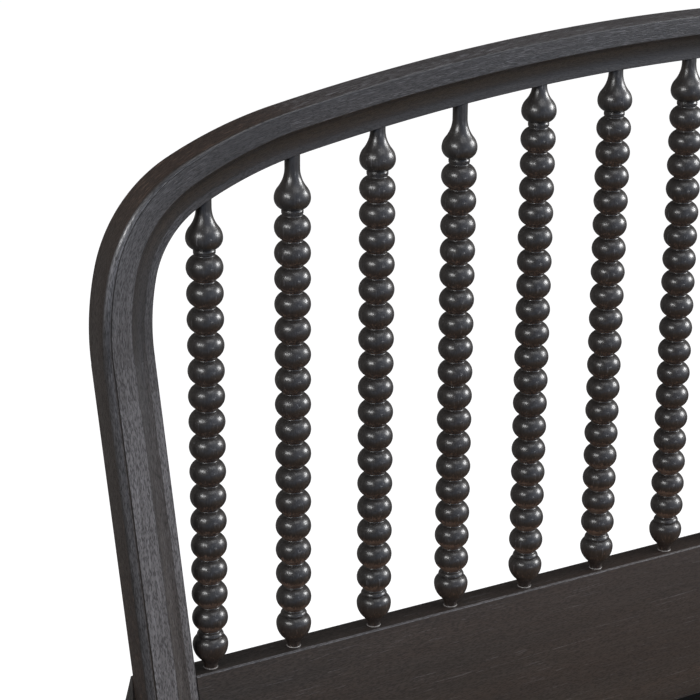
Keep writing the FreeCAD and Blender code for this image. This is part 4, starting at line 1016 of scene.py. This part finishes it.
def hoop_grey_and_painted_light(line, wear_and_painted_light, normal, centre):
    """The hoop's front flats are sanded grey, most on the posts, and the crest's top a little. The rounded
    edge is painted grey as a sheen that grows as it turns to the front, and as a highlight at the shoulders.
    """
    run, depth = line.unrolled(abs(centre.x), centre.z)
    height = centre.z
    level = wear_and_painted_light.crest_bare + wear_and_painted_light.shoulder_bare * fade(height, SHOULDER_HEIGHTS)
    level += wear_and_painted_light.post_bare * fade(height, POST_HEIGHTS)
    edge = line.rounding(run)
    if depth < edge:
        # Rounded edge: painted sheen that grows as it turns to the front, a painted highlight at the
        # shoulders, and grey on the crest's top
        front = fade(-normal.y, FRONT_TURN)
        bend = fade(height, BEND_TOP_HEIGHTS) * fade(height, BEND_FOOT_HEIGHTS)
        top = wear_and_painted_light.top_bare * fade(run, CREST_RUNS)
        return top * (1 - front) + (wear_and_painted_light.edge_sheen * level + wear_and_painted_light.bend_highlight * bend) * front
    if depth < edge * rim(line.sizes):
        return 0.0
    low = fade(level, LOW_BARENESS)
    if -normal.y < FLAT_FRONT:
        return wear_and_painted_light.cove_bare * low
    if centre.y > HOOP_Y - line.sizes.thick / 2 + LIP_BEHIND:
        return level * (wear_and_painted_light.lip_bare + wear_and_painted_light.lip_more * low)
    return level


def hoop_wear(line, wear_and_painted_light, point):
    """The hoop is rubbed along its outer back edge and a little on its outer side."""
    run, depth = line.unrolled(abs(point.x), point.z)
    rounding = line.sizes.back_round
    behind = point.y - HOOP_Y - line.sizes.thick / 2 + rounding
    if behind > SKIN and depth < 0.8 * rounding:
        return wear_and_painted_light.back_rub
    if depth > SKIN:
        return 0.0
    rub = wear_and_painted_light.top_rub + wear_and_painted_light.haunch_rub * fade(run, HAUNCH_RUNS)
    return rub - wear_and_painted_light.shoulder_rub * fade(run, SHOULDER_RUNS) + wear_and_painted_light.post_rub * fade(run, POST_RUNS)


def bead_wear_and_bounce(sizes, wear_and_painted_light, count, point):
    """A spindle is rubbed and browned by painted warm light bounced up from below under its beads, most under
    the lowest, and rubbed on its foot.
    """
    level = (point.z - PANEL_TOP - sizes.vase_height) / sizes.pitch
    if level > count:
        return 0.0
    if level < FOOT_BEADS[0]:
        return wear_and_painted_light.foot_rub * fade(level, FOOT_BEADS)
    return (wear_and_painted_light.bead_rub_and_bounce + wear_and_painted_light.low_rub_and_bounce * fade(level, LOW_BEADS)) * fade(level % 1.0, UNDER_BEAD)


def panel_grey_and_highlights(wear_and_painted_light, normal):
    """The panel's front is a little bare; its rounded edges carry a painted highlight, brightest in two fine
    lines along the front ones.
    """
    if abs(normal.z) < LEVEL or abs(normal.y) < LEVEL:
        return wear_and_painted_light.panel_bare if normal.y < -LEVEL else 0.0
    if OUTER_LINE[0] < normal.y < OUTER_LINE[1] or normal.y < FRONT_LINE:
        return wear_and_painted_light.panel_highlight_lines
    return wear_and_painted_light.panel_edge_highlight


def studio_world(studio):
    """White behind the bed for the camera, and a cool grey room that gloss mirrors from the front right."""
    world = bpy.data.worlds.new("studio")
    world.use_nodes = True
    tree = world.node_tree
    tree.nodes.clear()
    way = add_node(tree, "ShaderNodeTexCoord").outputs["Generated"]
    across, depth, _ = add_node(tree, "ShaderNodeSeparateXYZ", {"Vector": way}).outputs
    path = add_node(tree, "ShaderNodeLightPath").outputs
    seen = maths(tree, "MAXIMUM", path["Is Camera Ray"], path["Is Transmission Ray"])
    rightward, forward, far_left, front_turn = 0.65, 0.75, (-0.5, -1.0), (0.3, -0.7)
    slant = maths(tree, "SUBTRACT", times(tree, across, rightward), times(tree, depth, forward))
    white = ramp(tree, slant, 0.0, 1.0, studio.mirror_back, studio.mirror_front)
    white = maths(tree, "ADD", white, ramp(tree, slant, *far_left, 0.0, studio.mirror_side))
    mirrored = maths(tree, "SUBTRACT", white, studio.room)
    level = maths(tree, "ADD", times(tree, path["Is Glossy Ray"], mirrored), studio.room)
    tint = mixed(tree, ramp(tree, depth, *front_turn), studio.back_tint, studio.front_tint)
    tint = mixed(tree, path["Is Glossy Ray"], studio.room_tint, tint)
    room = add_node(tree, "ShaderNodeBackground", {"Color": tint, "Strength": level})
    plain = add_node(tree, "ShaderNodeBackground", {"Color": (1, 1, 1, 1), "Strength": 1.0})
    mix = add_node(tree, "ShaderNodeMixShader", {0: seen, 1: room.outputs[0], 2: plain.outputs[0]})
    add_node(tree, "ShaderNodeOutputWorld", {"Surface": mix.outputs[0]})
    return world


def softbox(name, place, target, spread, watts):
    """Rectangular lamp that faces a target."""
    lamp = bpy.data.lights.new(name, "AREA")
    lamp.shape = "RECTANGLE"
    lamp.size, lamp.size_y = spread
    lamp.energy = watts
    obj = bpy.data.objects.new(name, lamp)
    bpy.context.scene.collection.objects.link(obj)
    obj.location = place
    obj.rotation_euler = (target - place).to_track_quat("-Z", "Y").to_euler()


class BED_OT_hoop(bpy.types.Operator):
    """Model the moulded hoop: crest, shoulders and posts"""

    bl_idname = "bed.hoop"
    bl_label = "Hoop"

    def execute(self, context):
        sizes, wear_and_painted_light = settings("bed_hoop"), settings("bed_wear")
        line = HoopLine(sizes)
        pieces = {"headboard_crest": make_crest(line, sizes)}
        for name, side in SIDES:
            pieces[f"headboard_shoulder_{name}"] = make_shoulder(line, sizes, name, side)
            pieces[f"headboard_post_{name}"] = make_post(line, sizes, name, side)
        for seed, (node, piece) in enumerate(pieces.items()):
            mark_grain(piece, line)
            mark_faces(piece, lambda normal, centre: hoop_grey_and_painted_light(line, wear_and_painted_light, normal, centre))
            mark_points(piece, "wear_and_painted_light", lambda point: hoop_wear(line, wear_and_painted_light, point))
            dashes = wear_and_painted_light.crest_dashes if node == "headboard_crest" else wear_and_painted_light.hoop_dashes
            wood = stained_wood(node.replace("headboard", "charcoal"), None, seed, dashes=dashes)
            stand_for(piece, node, wood)
        return {"FINISHED"}


class BED_OT_spindles(bpy.types.Operator):
    """Turn the spindles"""

    bl_idname = "bed.spindles"
    bl_label = "Spindles"

    def execute(self, context):
        line = HoopLine(settings("bed_hoop"))
        sizes, wear_and_painted_light = settings("bed_spindle"), settings("bed_wear")
        wood = stained_wood("turned_charcoal", UPRIGHT, seed=7.7, bumps=0.03, lines=0.22)
        for node in SPINDLES:
            spindle, count = make_spindle(line, sizes, node)
            # Brown under the beads: rubbing and painted warm light bounced up from below
            mark_points(spindle, "wear_and_painted_light", lambda point: bead_wear_and_bounce(sizes, wear_and_painted_light, count, point))
            mark_points(spindle, "glue", lambda point: float(abs(point.z - PANEL_TOP) < SKIN))
            stand_for(spindle, node, wood)
        return {"FINISHED"}


class BED_OT_panel(bpy.types.Operator):
    """Plane the headboard's panel"""

    bl_idname = "bed.panel"
    bl_label = "Panel"

    def execute(self, context):
        wear_and_painted_light = settings("bed_wear")
        panel = make_panel(HoopLine(settings("bed_hoop")), settings("bed_panel"))
        # Front a little grey, rounded edges with painted highlights
        mark_faces(panel, lambda normal, _: panel_grey_and_highlights(wear_and_painted_light, normal))
        # Brown at the panel's right end: painted warm light bounced from the pine slats, with the coat dulled
        # there
        mark_points(panel, "wear_and_painted_light", lambda point: wear_and_painted_light.panel_rub_and_bounce * float(point.x > 0))
        wood = stained_wood("panel_charcoal", CROSSWAYS, seed=11.1, bumps=0.1, dashes=0.1, tones=0.4,
                            lines=0.2)
        stand_for(panel, "headboard_panel", wood)
        return {"FINISHED"}


class BED_OT_frame(bpy.types.Operator):
    """Finish rails, legs, slats and hardware"""

    bl_idname = "bed.frame"
    bl_label = "Frame"

    def execute(self, context):
        legs = stained_wood("leg_charcoal", UPRIGHT, seed=13.3, marked=False)
        rails = stained_wood("side_rail_charcoal", LENGTHWAYS, seed=15.2, marked=False)
        cross = stained_wood("cross_rail_charcoal", CROSSWAYS, seed=16.6, marked=False)
        slats = plain_wood("slat_pine", CROSSWAYS, seed=21.0)
        beams = plain_wood("beam_pine", LENGTHWAYS, seed=22.5)
        posts = plain_wood("centre_leg_pine", UPRIGHT, seed=23.8)
        steel = plated_steel("plated_steel")
        plastic = grained_plastic("grained_plastic")
        looks = {
            "headboard_leg": legs, "foot_leg": legs, "side_rail": rails, "foot_rail": cross,
            "head_rail": cross, "slat_screws": steel, "slat": slats, "side_ledger": beams,
            "centre_beam": beams, "centre_leg": posts, "hoop_dowels": posts, "panel_dowels": slats,
            "beam_hanger": steel, "bed_bolts": steel, "barrel_nuts": steel, "corner_screws": steel,
            "leg_screws": steel, "leg_glides": plastic, "leveller": plastic,
        }
        for node, obj in NODES.items():
            look = next((look for start, look in looks.items() if node.startswith(start)), None)
            if look:
                obj.data.materials.clear()
                obj.data.materials.append(look)
        return {"FINISHED"}


class BED_OT_stage(bpy.types.Operator):
    """Set up floor, light and camera"""

    bl_idname = "bed.stage"
    bl_label = "Stage"

    def execute(self, context):
        studio = settings("bed_studio")
        bpy.ops.object.select_all(action="DESELECT")
        bpy.ops.mesh.primitive_plane_add(size=studio.floor_size, location=(0, 0, 0))
        floor = context.active_object
        floor.name = "studio_floor"
        floor.data.materials.append(floor_material(studio))
        scene = context.scene
        scene.view_settings.view_transform = "Standard"
        scene.world = studio_world(studio)
        hoop, bed = Vector((0, HOOP_Y, 0.85)), Vector((0, 0, 0.3))
        lamps = (
            ("right_softbox", hoop, (2.6, -1.1, 1.25), (1.6, 1.2), studio.right_power),
            ("left_softbox", hoop, (-2.7, -1.0, 1.3), (1.6, 0.7), studio.left_power),
            ("front_softbox", hoop, (0.3, -3.6, 0.15), (0.6, 0.4), studio.front_power),
            ("top_softbox", bed, (0, -0.3, 3.3), (2.0, 2.0), studio.top_power),
        )
        for name, target, away, spread, watts in lamps:
            softbox(name, target + Vector(away), target, spread, watts)
        bpy.ops.object.camera_add()
        camera = context.active_object
        camera.name = "photo_camera"
        camera.data.lens = studio.lens
        camera.data.sensor_width = 36
        turn = Euler((studio.pitch, studio.roll, studio.heading)).to_matrix().to_4x4()
        camera.matrix_world = Matrix.Translation(studio.eye) @ turn
        camera.data.clip_end = 100
        scene.camera = camera
        return {"FINISHED"}


class BED_PT_sidebar(bpy.types.Panel):
    """Steps that dress the bed"""

    bl_label = "Platform bed"
    bl_idname = "BED_PT_sidebar"
    bl_space_type = "VIEW_3D"
    bl_region_type = "UI"
    bl_category = "Bed"

    def draw(self, context):
        for step in STEPS:
            self.layout.operator(step.bl_idname)
        for name, group in GROUPS:
            box = self.layout.box()
            for item in group.__annotations__:
                box.prop(getattr(context.scene, name), item)


GROUPS = (("bed_hoop", HoopSizes), ("bed_spindle", SpindleSizes), ("bed_panel", PanelSizes),
          ("bed_wood", WoodFinish), ("bed_wear", WoodWearAndPaintedLight), ("bed_studio", StudioSettings))
STEPS = (BED_OT_hoop, BED_OT_spindles, BED_OT_panel, BED_OT_frame, BED_OT_stage)


def register():
    for name, group in GROUPS:
        bpy.utils.register_class(group)
        setattr(bpy.types.Scene, name, bpy.props.PointerProperty(type=group))
    for step in (*STEPS, BED_PT_sidebar):
        bpy.utils.register_class(step)


def unregister():
    for step in reversed((*STEPS, BED_PT_sidebar)):
        bpy.utils.unregister_class(step)
    for name, group in reversed(GROUPS):
        delattr(bpy.types.Scene, name)
        bpy.utils.unregister_class(group)


def main():
    register()
    for step in STEPS:
        family, action = step.bl_idname.split(".")
        getattr(getattr(bpy.ops, family), action)()


if __name__ == "__main__":
    main()
